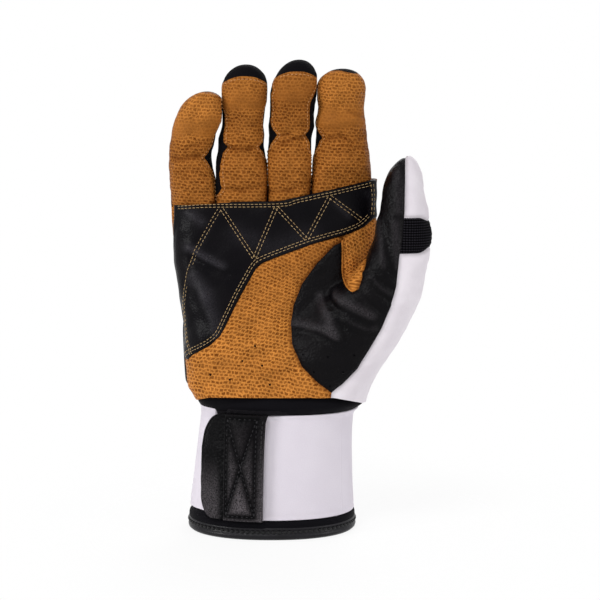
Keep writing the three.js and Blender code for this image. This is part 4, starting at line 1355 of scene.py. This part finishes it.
def finger_table(f):
    """Stations of one finger from its root up to the pulp."""
    root, (left, right) = f["x"][0], f["slice"]
    halves = [w / 2 for w in f["width"]]
    table = {
        "z": (f["z"][0] - ROOT_LENGTH,) + f["z"], "x": (root,) + f["x"], "y": (0.0,) + CURL_Y,
        "depth": (ROOT_DEPTH / 2,) + tuple(d / 2 for d in CURL_DEPTH),
        "left": (root - left, *halves), "right": (right - root, *halves)}
    for side in SIGN:
        table["n_" + side] = INNER_ROUNDNESS if side in f["insets"] else OUTER_ROUNDNESS
    return table


def finger_shape(f, z):
    """Centre, half sizes and roundness at a height, with the fingertip drawn in to a blunt dome."""
    table = finger_table(f)
    out = {k: monotone(table["z"], v, z) for k, v in table.items() if k != "z"}
    pulp, (tip_x, tip_z) = f["z"][3], f["tip"]
    rise = np.clip((z - pulp) / (tip_z - pulp), 0, 1)
    shrink = np.maximum(1 - rise ** 2.4, 0) ** (1 / 2.1)
    out["x"] = out["x"] + rise ** 0.9 * (tip_x - f["x"][3])
    out["y"] = out["y"] + rise ** 1.2 * (TIP_Y - CURL_Y[3])
    for k in ("left", "right", "depth"):
        out[k] = out[k] * np.maximum(shrink, 1e-3)
    return out


def crumple(f, angle, z):
    """Uneven wrinkles, mostly across the middle joint and below it."""
    joint, crease = f["z"][1:3]
    angle, z = np.broadcast_arrays(angle, z)
    place = np.stack([angle * SEAM_RADIUS, np.full(z.shape, f["x"][0]), 1.7 * z], axis=-1).reshape(-1, 3)
    lines = (wobble(place, 7.5, 51) + 0.6 * wobble(place, 4.2, 52)).reshape(z.shape)
    return lines * (0.06 + 0.22 * bump(z, joint, 6) + 0.12 * (1 - smooth(joint - 2, crease, z)))


def finger_folds(f, angle, z):
    """Depth of the creases that bending has left across one finger's front."""
    x, high = np.broadcast_arrays(FRONT_RADIUS * np.sin(angle), z - f["z"][1])
    total = np.zeros(x.shape)
    for x0, z0, x1, z1, width, depth in f["folds"]:
        total = total + depth * bump(line_distance(x, high, [(x0, z0), (x1, z1)]), 0, width)
    return total


def plumpness(f, angle, z):
    """Padding below and above the middle joint and at the tip, less on a side without a neighbour."""
    knuckle, joint, crease, _ = f["z"]
    lower, middle, upper = f["plump"]
    plump = lower * bump(z, knuckle + 0.45 * (joint - knuckle), 9)
    plump += middle * bump(z, (joint + crease) / 2 + 0.5, 3.6)
    plump += upper * bump(z, (crease + f["tip"][1]) / 2 + 1, 8)
    for side, sign in SIGN.items():
        if side not in f["insets"]:
            plump = plump * (1 - 0.75 * smooth(0.3, 1.3, sign * angle))
    return plump


def front_relief(f, angle, z, bent, start):
    """Creases across the front of a finger, wrinkles, and soft pads between them."""
    knuckle, joint, crease, _ = f["z"]
    low = f["smooth"][0]
    uneven = 0.65 + 0.35 * np.sin(angle * 2.3 + start)
    lines = ((joint, 1.2, 0.6), (joint + 2.4, 0.8, 0.2), (joint - 2.3, 0.8, 0.2), (joint - 4.9, 0.9, 0.2),
             (low - 1.2, 1.2, 0.4), (crease - 2.4, 0.8, 0.2), (knuckle + 4.2, 0.9, 0.25))
    total = crumple(f, angle, z) - finger_folds(f, angle, z)
    total = total + 0.6 * bump(z, (knuckle + joint) / 2 + 1, 7) + 0.7 * bump(z, low + 6, 6)
    for number, (at, width, depth) in enumerate(lines):
        slant = z + (bent - z) * (1 if number % 2 else -0.8)
        total = total - depth * (uneven if number else 1.0) * bump(slant, at, width)
    return total


def finger_relief(f, angle, z, kind):
    """How far a panel stands out: plump between the joints, creased across them, rippled on the back."""
    front = np.clip(np.cos(angle), 0, 1) ** 0.6
    start = WAVE_START[kind] + int(abs(f["x"][0]))
    bent = z + 0.9 * np.sin(angle * 1.7 + start) + 0.25 * np.sin(angle * 6 + z * 0.3)
    total = plumpness(f, angle, z) * (0.85 + 0.15 * front)
    if kind == "front":
        total = total + front_relief(f, angle, z, bent, start) * front
    if kind == "back":
        ripple = np.sin(bent * 2 * math.pi / 3.1) * bump(z, f["z"][1], 7)
        total = total + 0.35 * ripple * np.clip(-np.cos(angle), 0, 1)
    return total


def edge_angle(f, side, z):
    """Angle of the front panel's edge, which draws back in a notch at the middle joint."""
    if side not in f["insets"]:
        return np.full(np.shape(z), SIGN[side] * BACK_SEAM_ANGLE)
    s = finger_shape(f, z)
    a, b, n = s[side], s["depth"], s["n_" + side]
    inset = np.minimum(np.interp(z, *zip(*f["insets"][side])), 0.5 * a)
    share = (a - inset) / a
    return SIGN[side] * np.arctan2(a - inset, b * (1 - share ** n) ** (1 / n))


def edge_lift(f, angle, z, kind):
    """The front panel's turned edge stands over the side panels, which tuck under it."""
    lift = np.zeros(np.shape(angle))
    for side in f["insets"]:
        gap = np.abs(angle - edge_angle(f, side, z)) * SEAM_RADIUS
        lift = lift + (0.25 * np.exp(-gap / 1.2) if kind == "front" else -0.6 * np.exp(-gap / 1.4))
    for sign in SIGN.values():
        lift = lift - 0.5 * bump(np.abs(angle - sign * BACK_SEAM_ANGLE) * SEAM_RADIUS, 0, 0.9)
    return lift


def palm_half_depth(x, z):
    """Depth of the palm's front and back at an x and a height."""
    centre, _, a, b = section(PALM, z)
    share = np.clip(np.abs(x - centre) / a, 0, 0.999)
    return b * (1 - share ** PALM_ROUNDNESS) ** (1 / PALM_ROUNDNESS)


def keep_apart(f, x, z):
    """Holds a finger inside its own strip, so that neighbours press flat together."""
    rise = smooth(f["z"][1] - 2, f["z"][2] + 2, z)
    margin = STRIP_MARGIN * (1 - (1 - TIP_MARGIN) * rise)
    for (side, sign), low, high in zip(SIGN.items(), f["slice"], f["tip_slice"]):
        if side in f["insets"]:
            limit = low + rise * (high - low) - sign * margin
            x = sign * np.minimum(sign * x, sign * limit)
    return x


def finger_point(f, angle, z, kind):
    """A point of one finger's surface."""
    s = finger_shape(f, z)
    n = np.where(np.sin(angle) < 0, s["n_left"], s["n_right"])
    r = oval_radius(angle, s["left"], s["right"], s["depth"], n)
    blunt = np.clip((f["tip"][1] - z) / 3.0, 0, 1)
    r = r + (finger_relief(f, angle, z, kind) + edge_lift(f, angle, z, kind)) * blunt
    x, y = s["x"] + r * np.sin(angle), s["y"] - r * np.cos(angle)
    root = 1 - smooth(f["z"][0] - 3, f["z"][0] + 8, z)
    room = palm_half_depth(x, z) - 0.9
    y = y + root * (np.clip(y, -room, room) - y)
    flat = np.stack([x, y, z], axis=-1).reshape(-1, 3)
    rough = (0.16 * wobble(flat, 9, 21) + 0.07 * wobble(flat, 3.6, 22)).reshape(z.shape) * blunt
    x, y = x + rough * np.sin(angle), y - rough * np.cos(angle)
    return np.stack([keep_apart(f, x, z), y, z], axis=-1)


def hood_height(f, angle):
    """Where the front leather ends under the fingertip's stretch hood."""
    turn = np.clip(np.abs(angle - f["turn"]), 0, math.pi / 2)
    top, drop = f["hood"]
    return f["tip"][1] - top - drop * np.sin(turn) ** 3


def finger_rows(f, angle, part):
    """Heights of one panel's rows at each angle."""
    top = hood_height(f, angle)
    t = np.linspace(0, 1, PANEL_ROWS[part])[:, None]
    if part == "lower":
        return f["z"][0] - ROOT_LENGTH + t * (f["split"] - f["z"][0] + ROOT_LENGTH) + 0 * angle
    if part == "upper":
        return f["split"] + t * (top - f["split"])
    return top + np.sin(t * math.pi / 2) * (f["tip"][1] - top - 1e-3)


def finger_columns(f, kind, z):
    """Angles of one panel's columns in each row."""
    left, right = (edge_angle(f, side, z) for side in SIGN)
    spans = {"front": (left, right), "right": (right, BACK_SEAM_ANGLE), "left": (-BACK_SEAM_ANGLE, left),
             "back": (BACK_SEAM_ANGLE + 0 * z, 2 * math.pi - BACK_SEAM_ANGLE)}
    start, end = spans[kind]
    return start + np.linspace(0, 1, PANEL_COLUMNS[kind])[None, :] * (end - start)


def panel_grid(f, kind, part):
    """Angles and heights of one finger panel."""
    if part == "hood":
        angle = finger_columns(f, kind, np.full((1, 1), f["z"][3] + 2))
        return np.broadcast_arrays(angle, finger_rows(f, angle, part))
    guess = np.full((1, 1), (f["split"] + f["z"][1]) / 2)
    z = finger_rows(f, finger_columns(f, kind, guess), part)
    angle = finger_columns(f, kind, z[:, :1])
    if part == "upper":
        angle = finger_columns(f, kind, finger_rows(f, angle[-1:], part)[:, :1])
        z = finger_rows(f, angle[-1:], part)
    return angle, z


def finger_painted_shade(f, angle, z, kind):
    """Painted shade on a finger: in creases, at the sides between fingers, below the smooth pulp, on the
    upper lengths by the finger's tone, and towards the root.
    """
    joint, crease = f["z"][1:3]
    deep = np.clip(-finger_relief(f, angle, z, kind) - 0.05, 0, 1) * 0.7
    if kind == "front":
        deep = deep + 0.5 * finger_folds(f, angle, z)
    root = 0.46 * (1 - smooth(joint - 4, crease + 6, z)) + 0.2 * bump(z, f["smooth"][0] - 3.5, 3.5)
    pulp = f["tone"] * smooth(joint, crease, z)
    return np.clip(0.06 + pulp + deep + root + 0.34 * smooth(0.6, 1.3, np.abs(angle)), 0, 1)


def add_skirt(mesh, shape, part):
    """A front panel with its sewn edges turned down into the finger."""
    points, faces, normals, uv, tone = mesh
    corner = np.arange(len(points)).reshape(shape)
    edges = [corner[:, 0], corner[:, -1]]
    if part == "upper":
        edges.append(corner[-1])
    for number, edge in enumerate(edges):
        lower = np.arange(len(points), len(points) + len(edge))
        points = np.vstack([points, points[edge] - FRONT_SKIRT * normals[edge]])
        normals, uv = (np.vstack([rows, rows[edge]]) for rows in (normals, uv))
        # The turned-down edges take full painted shade.
        tone = np.concatenate([tone, np.ones(len(edge))])
        for quad in zip(edge, edge[1:], lower[1:], lower):
            faces.append(quad if number == 0 else quad[::-1])
    return points, faces, normals, uv, tone


def panel_mesh(f, kind, part):
    """Points, faces, normals, surface coordinates and painted shade of one finger panel."""
    angle, z = panel_grid(f, kind, part)
    shape_kind = kind if kind in ("front", "back") else "side"

    def place(turn, high):
        return finger_point(f, turn, high, shape_kind)

    across = place(angle + TURN_STEP, z) - place(angle - TURN_STEP, z)
    along = place(angle, np.minimum(z + RISE_STEP, f["tip"][1] - 1e-3)) - place(angle, z - RISE_STEP)
    normals = unit(np.cross(across, along))
    run = angle * FRONT_RADIUS
    uv = FINGER_EMBOSSING * np.stack([run + 0.08 * z, z + 0.05 * run], axis=-1)
    points, faces = place(angle, z).reshape(-1, 3), grid_faces(*angle.shape)
    # Painted shade, carried in the crease attribute.
    tone = finger_painted_shade(f, angle, z, shape_kind).ravel()
    mesh = (points, faces, normals.reshape(-1, 3), uv.reshape(-1, 2), tone)
    return add_skirt(mesh, angle.shape, part) if kind == "front" and part != "hood" else mesh


def add_panel(name, meshes, material, nodes, bend, plain=None):
    """One piece from one or more panel grids of a finger."""
    points, faces = join([mesh[:2] for mesh in meshes])
    normals, uv, tone = (np.concatenate(rows) for rows in list(zip(*meshes))[2:])
    # tone, the painted shade, goes into the crease attribute.
    piece = make(name, points, faces, material, uv, normals, tone, plain and plain(points))
    attach(piece, nodes, bend=bend)


def finger_seams(f, part):
    """The sewn edges of the front panel, and the one under the hood: points and normals of each row."""
    low, high = SEAM_ENDS[part]
    z = finger_rows(f, np.zeros((1, 1)), part)[:, 0]
    z = np.linspace(z[0] + low, z[-1] - high, 80)
    lines = [(edge_angle(f, side, z) - SIGN[side] * SEAM_TURN, z) for side in f["insets"]]
    if part == "upper" and f["hood"][0] > REAL_HOOD:
        left, right = (edge_angle(f, side, np.array(f["z"][3])) for side in SIGN)
        turn = np.linspace(left + HOOD_TURN, right - HOOD_TURN, 60)
        lines.append((turn, hood_height(f, turn) - HOOD_ROW))
    rows = []
    for angle, high in lines:
        points = finger_point(f, angle, high, "front")
        s = finger_shape(f, high)
        rows.append((points, unit(points - np.stack([s["x"], s["y"], high], axis=1))))
    return rows


def joint_bend(lower, upper, x, z):
    """Two bodies and the stretch of a finger over which its leather turns from one to the other."""
    return lower, upper, record_point(x, 0, z - BEND_REACH), record_point(x, 0, z + BEND_REACH)


def make_finger(name, f):
    """One finger: front, side and back panels below and above the middle joint."""
    low, high = name + "_lower", name + "_upper"
    parts = (("lower", "knuckle", joint_bend("hand", low, f["x"][0], f["z"][0])),
             ("upper", "middle", joint_bend(low, high, f["x"][1], f["z"][1])))

    def worn_smooth(points):
        z, (bottom, top) = points[:, 2] + 1.6 * wobble(points, 15, 71), f["smooth"]
        above = smooth(top - 3, top + 5, z)
        return 0.8 * (smooth(bottom - 1.6, bottom + 1.6, z) - above) + 0.35 * above

    for part, joint, bend in parts:
        front = f"{name}_front_{part}"
        leather = [panel_mesh(f, "front", part)]
        add_panel(front + "_leather", leather, TAN, [front], bend, worn_smooth)
        for side in f["insets"]:
            gusset = f"{name}_{side}_gusset_{part}"
            knit = [panel_mesh(f, side, part)]
            add_panel(gusset + "_knit", knit, STRETCH, [gusset], bend)
        back = f"{name}_back_{part}"
        meshes = [panel_mesh(f, "back", part)]
        if part == "upper":
            meshes += [panel_mesh(f, kind, "hood") for kind in ("front", "back", *f["insets"])]
        add_panel(back + "_knit", meshes, STRETCH, [back, f"{name}_{joint}_flex"], bend)
        rows = finger_seams(f, part)
        sew(f"{name}_stitches_{part}", rows, FINGER_STITCH, TAN_THREAD, bend)


# The cuff

SLEEVE_ANGLES = np.linspace(-math.pi, 3 * math.pi, 1441)


def sleeve_point(angle, z, offset):
    """A point that lies a distance outside the sleeve."""
    x, y, a, b = section(SLEEVE, z)
    r = oval_radius(angle, a, a, b, SLEEVE_ROUNDNESS)
    dx, dy = r * np.sin(angle), -r * np.cos(angle)
    power = SLEEVE_ROUNDNESS - 1
    normal = np.stack([np.sign(dx) * (np.abs(dx) / a) ** power / a,
                       np.sign(dy) * (np.abs(dy) / b) ** power / b,
                       np.zeros_like(dx)], axis=-1)
    return np.stack([x + dx, y + dy, z + 0 * dx], axis=-1) + np.asarray(offset)[..., None] * unit(normal)


def sleeve_run():
    """Length round the sleeve from its front, at the middle of the strap."""
    run = run_length(sleeve_point(SLEEVE_ANGLES, STRAP_MIDDLE, ON_SLEEVE))
    return run - np.interp(0, SLEEVE_ANGLES, run)


RUN = sleeve_run()


def run_at_angle(angle):
    """Length round the sleeve at an angle."""
    return float(np.interp(angle, SLEEVE_ANGLES, RUN))


def run_at_x(x, offset=ON_SLEEVE):
    """Length round the front of the sleeve at which a layer on it reaches an x."""
    angles = np.linspace(-1.5, 1.5, 601)
    return run_at_angle(np.interp(x, sleeve_point(angles, STRAP_MIDDLE, offset)[:, 0], angles))


def spread(count):
    """Even steps from 0 to 1 with two more close to each end."""
    close = np.array([0.3, 0.6]) / count
    return np.concatenate([[0], close, np.linspace(0, 1, count)[1:-1], 1 - close[::-1], [1]])


def leaned(u, z, span, heights, lean):
    """Shifts a place on a tab sideways so that its two side edges lean as they do on the glove."""
    share = (u - span[0]) / (span[1] - span[0])
    rise = (z - heights[0]) / (heights[1] - heights[0])
    left = lean[0] + (lean[1] - lean[0]) * rise
    right = lean[2] + (lean[3] - lean[2]) * rise
    return u + left + (right - left) * share


def wrapped_sheet(span, heights, layer, corners=(), relief=None, groove=0.0, lean=NO_LEAN, sewn=None,
                  lift=0.0):
    """A closed sheet on the sleeve; its start side may have round corners, and a sewn end isn't bevelled."""
    (start, end), (low, high), (inner, outer) = span, heights, layer
    columns, rows = (max(int(size / SHEET_STEP), 12) for size in (end - start, high - low))
    z = low + (high - low) * spread(rows)
    left = np.full(z.shape, float(start))
    for (wide, tall), gap in zip(corners, (z - low, high - z)):
        reach = np.clip(1 - gap / tall, 0, 1)
        left = left + wide * (1 - np.sqrt(1 - reach ** 2))
    u = left[:, None] + spread(columns)[None, :] * (end - left)[:, None]
    zz = z[:, None] + 0 * u
    edge = np.minimum(zz - low, high - zz)
    if sewn != "start":
        edge = np.minimum(edge, u - left[:, None])
    if sewn != "end":
        edge = np.minimum(edge, end - u)
    edge = np.maximum(edge, 0)
    share = np.sqrt(1 - (1 - np.clip(edge / SHEET_BEVEL, 0, 1)) ** 2)
    height = inner + (outer - inner) * share
    if relief is not None:
        height = height + (relief(u, zz) - groove * bump(edge, 1.8, 0.6)) * share
    angle = np.interp(leaned(u, zz, span, heights, lean), RUN, SLEEVE_ANGLES)
    zz = zz + lift * smooth(0.6, 1, (u - start) / (end - start))
    top, under = sleeve_point(angle, zz, height), sleeve_point(angle, zz, inner)
    return closed_sheet(top, under, np.stack([u, zz], axis=-1))


def closed_sheet(top, under, uv):
    """Two grids of one shape joined all round."""
    rows, columns = top.shape[:2]
    count = rows * columns
    faces = grid_faces(rows, columns)
    faces += [[i + count for i in face[::-1]] for face in grid_faces(rows, columns)]
    rim = list(range(columns)) + [r * columns + columns - 1 for r in range(1, rows)]
    rim += [(rows - 1) * columns + c for c in range(columns - 2, -1, -1)]
    rim += [r * columns for r in range(rows - 2, 0, -1)]
    faces += [[b, a, a + count, b + count] for a, b in edges_of(rim)]
    uv = uv.reshape(-1, 2)
    return np.vstack([top.reshape(-1, 3), under.reshape(-1, 3)]), faces, np.vstack([uv, uv])


def ring_mesh(profile, columns=180):
    """A closed profile of offset and height swept round the sleeve."""
    angles = np.linspace(0, 2 * math.pi, columns, endpoint=False)
    points = np.concatenate([sleeve_point(angles, z, offset) for offset, z in profile])
    faces = []
    for r in range(len(profile)):
        for c in range(columns):
            d, q = (c + 1) % columns, (r + 1) % len(profile)
            faces.append((r * columns + c, r * columns + d, q * columns + d, q * columns + c))
    across = np.repeat(np.arange(1.0, len(profile) + 1), columns)
    return points, faces, np.stack([np.tile(angles * 35, len(profile)), across], axis=1)


def cuff_piece(name, mesh, material, solid, bend=None, painted_sheen=None):
    """One sheet or ring of the cuff, in the place of its solid."""
    points, faces, uv = mesh
    # Painted sheen, where given, goes into the plain attribute.
    piece = make(name, points, faces, material, uv, plain=painted_sheen and painted_sheen(*uv.T))
    attach(piece, [solid], bend=bend)


def make_sleeve():
    """Neoprene sleeve with its roll above the strap, and the piped hem."""
    outside = curve_through(SLEEVE_PROFILE, 3).tolist()
    inside = [(SLEEVE_INSIDE, z) for _, z in SLEEVE_PROFILE[::-1]]
    cuff_piece("cuff_sleeve", ring_mesh(outside + inside), NEOPRENE, "wrist_sleeve")
    cuff_piece("cuff_hem", ring_mesh(HEM_PROFILE), BINDING, "hem_binding")
    offset, height = HEM_ROW
    row = sleeve_point(np.linspace(0, 2 * math.pi, 400), height, offset)
    centre = np.array([SLEEVE[0][1], 0, HEM_CENTRE])
    sew("hem_stitches", [(row, unit(row - centre))], HEM_STITCH, BLACK_THREAD)


def sheet_wobble(u, z, wavelength, seed):
    """Soft uneven rise and fall over a sheet laid out flat."""
    flat = np.stack([u.ravel(), 0 * u.ravel(), z.ravel()], axis=1)
    return wobble(flat, wavelength, seed).reshape(u.shape)


def strap_relief(u, z):
    """The elastic's sewn margins and its slight waves."""
    margins = bump(z, STRAP_BOTTOM + 2.2, 0.6) + bump(z, STRAP_TOP - 2.2, 0.6)
    return 0.12 * sheet_wobble(u, 0.35 * z, 16, 31) - 0.25 * margins


def fringe_relief(u, z):
    """The uneven pile at the edge of the loop fabric."""
    ends = smooth(u.max() - 12, u.max(), u) + smooth(u.min() + 5, u.min(), u)
    return 0.35 * sheet_wobble(u, z, 2.4, 61) - 1.6 * ends


def tab_relief(u, z):
    """A slightly uneven lobe."""
    return 0.15 * sheet_wobble(u, z, 9, 41)


def square_lines():
    """The box and cross of the sewn square, as lengths round the sleeve and heights."""
    left, right = run_at_x(BOX_LEFT_X, ON_BOX) + 1.4, run_at_x(TAB_RIGHT_X, ON_BOX) - 4.0
    low, high = TAB_BOTTOM + BOX_MARGIN, TAB_TOP - BOX_MARGIN
    corners = [(left, low), (right, low), (right, high), (left, high)]
    return list(edges_of(corners)) + [(corners[0], corners[2]), (corners[1], corners[3])]


def box_relief(u, z):
    """Leather puffed up between the sewn lines of the square."""
    gap = np.min([line_distance(u, z, line) for line in square_lines()], axis=0)
    return 1.7 * (1 - np.exp(-gap / 2.6)) - 0.35


def painted_square_sheen(u, z):
    """Painted sheen on the puffed pads of the square, more of it near the bottom."""
    return 0.75 * np.clip(box_relief(u, z), 0, 1) * (1.1 - smooth(14, 60, z))


def painted_lobe_sheen(u, z):
    """Painted sheen on the tab's free end at its lower corner."""
    return 0.45 * (1 - smooth(20, 42, z)) * (1 - smooth(9, 13, u - u.min()))


def make_band():
    """White elastic: the band round the wrist, the free flap, and the loop pad between their ends."""
    hinge, flap_end, band_end = run_at_angle(HINGE_ANGLE), run_at_x(LOOP_END_X), run_at_x(STRAP_END_X)
    past = np.interp(hinge - FLAP_REACH, RUN, SLEEVE_ANGLES)
    ends = sleeve_point(np.array([HINGE_ANGLE, past]), STRAP_MIDDLE, ON_SLEEVE)
    bend = ("hand", "strap", *(record_point(*p) for p in ends))
    heights = (STRAP_BOTTOM, STRAP_TOP)
    band = wrapped_sheet((hinge, run_at_angle(2 * math.pi) + band_end), heights, ELASTIC_LAYER,
                         relief=strap_relief, sewn="start", lift=STRAP_LIFT)
    cuff_piece("strap_wrap", band, ELASTIC, "strap_band")
    flap = wrapped_sheet((flap_end, hinge), heights, ELASTIC_LAYER, relief=strap_relief, sewn="end")
    cuff_piece("strap_front", flap, ELASTIC, "strap_flap", bend)
    pad = wrapped_sheet((band_end + 0.4, flap_end - 0.4), (STRAP_BOTTOM + 0.5, STRAP_TOP + 1.2),
                        ELASTIC_LAYER)
    fringe = wrapped_sheet((run_at_x(FRINGE_LEFT_X), run_at_x(FRINGE_RIGHT_X)),
                           (STRAP_TOP + 0.1, STRAP_TOP + 2.8), FRINGE_LAYER, relief=fringe_relief)
    loops = (*join([pad[:2], fringe[:2]]), np.vstack([pad[2], fringe[2]]))
    cuff_piece("loop_patch", loops, HOOKS, "loop_pad")


def make_tab():
    """The black hook tab with its sewn square, and the hooks under it."""
    bend = ("strap", "tab", *(record_point(*p) for p in TAB_BEND))
    start, end = run_at_x(TAB_LEFT_X, ON_TAB), run_at_x(TAB_RIGHT_X, ON_BOX)
    box, heights = run_at_x(BOX_LEFT_X, ON_BOX), (TAB_BOTTOM, TAB_TOP)
    lobe = wrapped_sheet((start, end), heights, TAB_LAYER, TAB_CORNERS, tab_relief, TAB_GROOVE, TAB_LEAN)
    # The lobe carries painted sheen at its lower corner.
    cuff_piece("tab_leather", lobe, TAB_LEATHER, "strap_tab", bend, painted_lobe_sheen)
    inset = (TAB_BOTTOM + HOOK_INSET, TAB_TOP - HOOK_INSET)
    hooks = wrapped_sheet((start + HOOK_INSET, end - HOOK_INSET), inset, HOOK_LAYER, TAB_CORNERS,
                          lean=TAB_LEAN)
    cuff_piece("tab_hooks", hooks, HOOKS, "hook_pad", bend)
    square = wrapped_sheet((box, end), heights, BOX_LAYER, relief=box_relief, lean=BOX_LEAN)
    # The square carries painted sheen on its pads.
    cuff_piece("tab_square", square, TAB_LEATHER, "tab_reinforcement", bend, painted_square_sheen)
    sew_tab((box, end), bend)


def sew_tab(span, bend):
    """Black thread round the tab's square, across it, and along its outer edge."""
    edge = span[1] - 1.3
    low, high = TAB_BOTTOM + BOX_MARGIN, TAB_TOP - BOX_MARGIN
    lines = [(a, b, IN_SQUARE) for a, b in square_lines()] + [((edge, low), (edge, high), ON_EDGE)]
    rows = []
    for a, b, offset in lines:
        u, z = np.linspace(a, b, 60).T
        angle = np.interp(leaned(u, z, span, (TAB_BOTTOM, TAB_TOP), BOX_LEAN), RUN, SLEEVE_ANGLES)
        points = sleeve_point(angle, z, offset)
        rows.append((points, unit(sleeve_point(angle, z, ABOVE_TAB) - points)))
    sew("tab_stitches", rows, TAB_STITCH, TAB_THREAD, bend)


# Stage

def aim(item, place, target):
    """Puts a camera or lamp in its place, turned to what it looks at."""
    item.location = place
    item.rotation_euler = (Vector(target) - Vector(place)).to_track_quat("-Z", "Y").to_euler()
    bpy.context.scene.collection.objects.link(item)


def make_camera():
    """The camera in front of the palm, a little above it."""
    data = bpy.data.cameras.new("camera")
    data.lens = CAMERA_LENS
    data.sensor_width = CAMERA_SENSOR
    camera = bpy.data.objects.new("camera", data)
    back = Vector((0, -math.cos(CAMERA_RISE), math.sin(CAMERA_RISE)))
    aim(camera, CAMERA_AIM + CAMERA_DISTANCE * back, CAMERA_AIM)
    bpy.context.scene.camera = camera


def make_lamp(name, place, size, power):
    """A round soft lamp that shines on the glove."""
    data = bpy.data.lights.new(name, "AREA")
    data.shape = "DISK"
    data.size = size
    data.energy = power
    aim(bpy.data.objects.new(name, data), Vector(place), CAMERA_AIM)


def seen_directly(tree):
    """1 where a ray shows a surface to the camera, straight, mirrored or through glass."""
    rays = node(tree, "LightPath")
    seen = math_node(tree, "MAXIMUM", rays.outputs["Is Camera Ray"], rays.outputs["Is Glossy Ray"])
    return math_node(tree, "MAXIMUM", seen, rays.outputs["Is Transmission Ray"])


def fresh_tree(owner):
    """The emptied nodes of a world or material."""
    owner.use_nodes = True
    owner.node_tree.nodes.clear()
    return owner.node_tree


def make_world():
    """An even white room; what is seen directly or mirrored is plain white."""
    world = bpy.data.worlds.new("studio")
    bpy.context.scene.world = world
    tree = fresh_tree(world)
    room, white = (node(tree, "Background", {"Color": (1, 1, 1, 1), "Strength": strength}).outputs[0]
                   for strength in (ROOM_STRENGTH, 1.0))
    both = node(tree, "MixShader", {0: seen_directly(tree), 1: room, 2: white})
    node(tree, "OutputWorld", {"Surface": both.outputs[0]})


def make_floor():
    """A white floor that fades into the white room and keeps the glove's shadow."""
    s = FLOOR_HALF
    mesh = bpy.data.meshes.new("floor")
    mesh.from_pydata([(-s, -s, 0), (s, -s, 0), (s, s, 0), (-s, s, 0)], [], [(0, 1, 2, 3)])
    material = bpy.data.materials.new("floor")
    tree = fresh_tree(material)
    seen = seen_directly(tree)
    place = node(tree, "TexCoord").outputs["Object"]
    far = node(tree, "VectorMath", {0: place}, operation="LENGTH").outputs["Value"]
    near, end = FLOOR_FADE
    fade = node(tree, "MapRange", {"Value": far, 1: near, 2: end}, interpolation_type="SMOOTHSTEP").outputs[0]
    matt = node(tree, "BsdfDiffuse", {"Color": (0.95, 0.95, 0.95, 1)}).outputs[0]
    white = node(tree, "Emission", {"Color": (1, 1, 1, 1), "Strength": 1.0}).outputs[0]
    clear = node(tree, "BsdfTransparent").outputs[0]
    bright = node(tree, "MixShader", {0: times(tree, seen, 0.88), 1: matt, 2: white}).outputs[0]
    both = node(tree, "MixShader", {0: times(tree, fade, seen), 1: bright, 2: clear}).outputs[0]
    node(tree, "OutputMaterial", {"Surface": both})
    floor = bpy.data.objects.new("floor", mesh)
    mesh.materials.append(material)
    bpy.context.scene.collection.objects.link(floor)


def make_stage():
    """Camera, room, lamps and floor."""
    make_camera()
    make_world()
    for lamp in LAMPS:
        make_lamp(*lamp)
    make_floor()
    bpy.context.scene.view_settings.view_transform = "Standard"


make_stage()
make_hand()
make_piping()
make_webs()
for finger_name, finger in FINGERS.items():
    make_finger(finger_name, finger)
make_sleeve()
make_band()
make_tab()
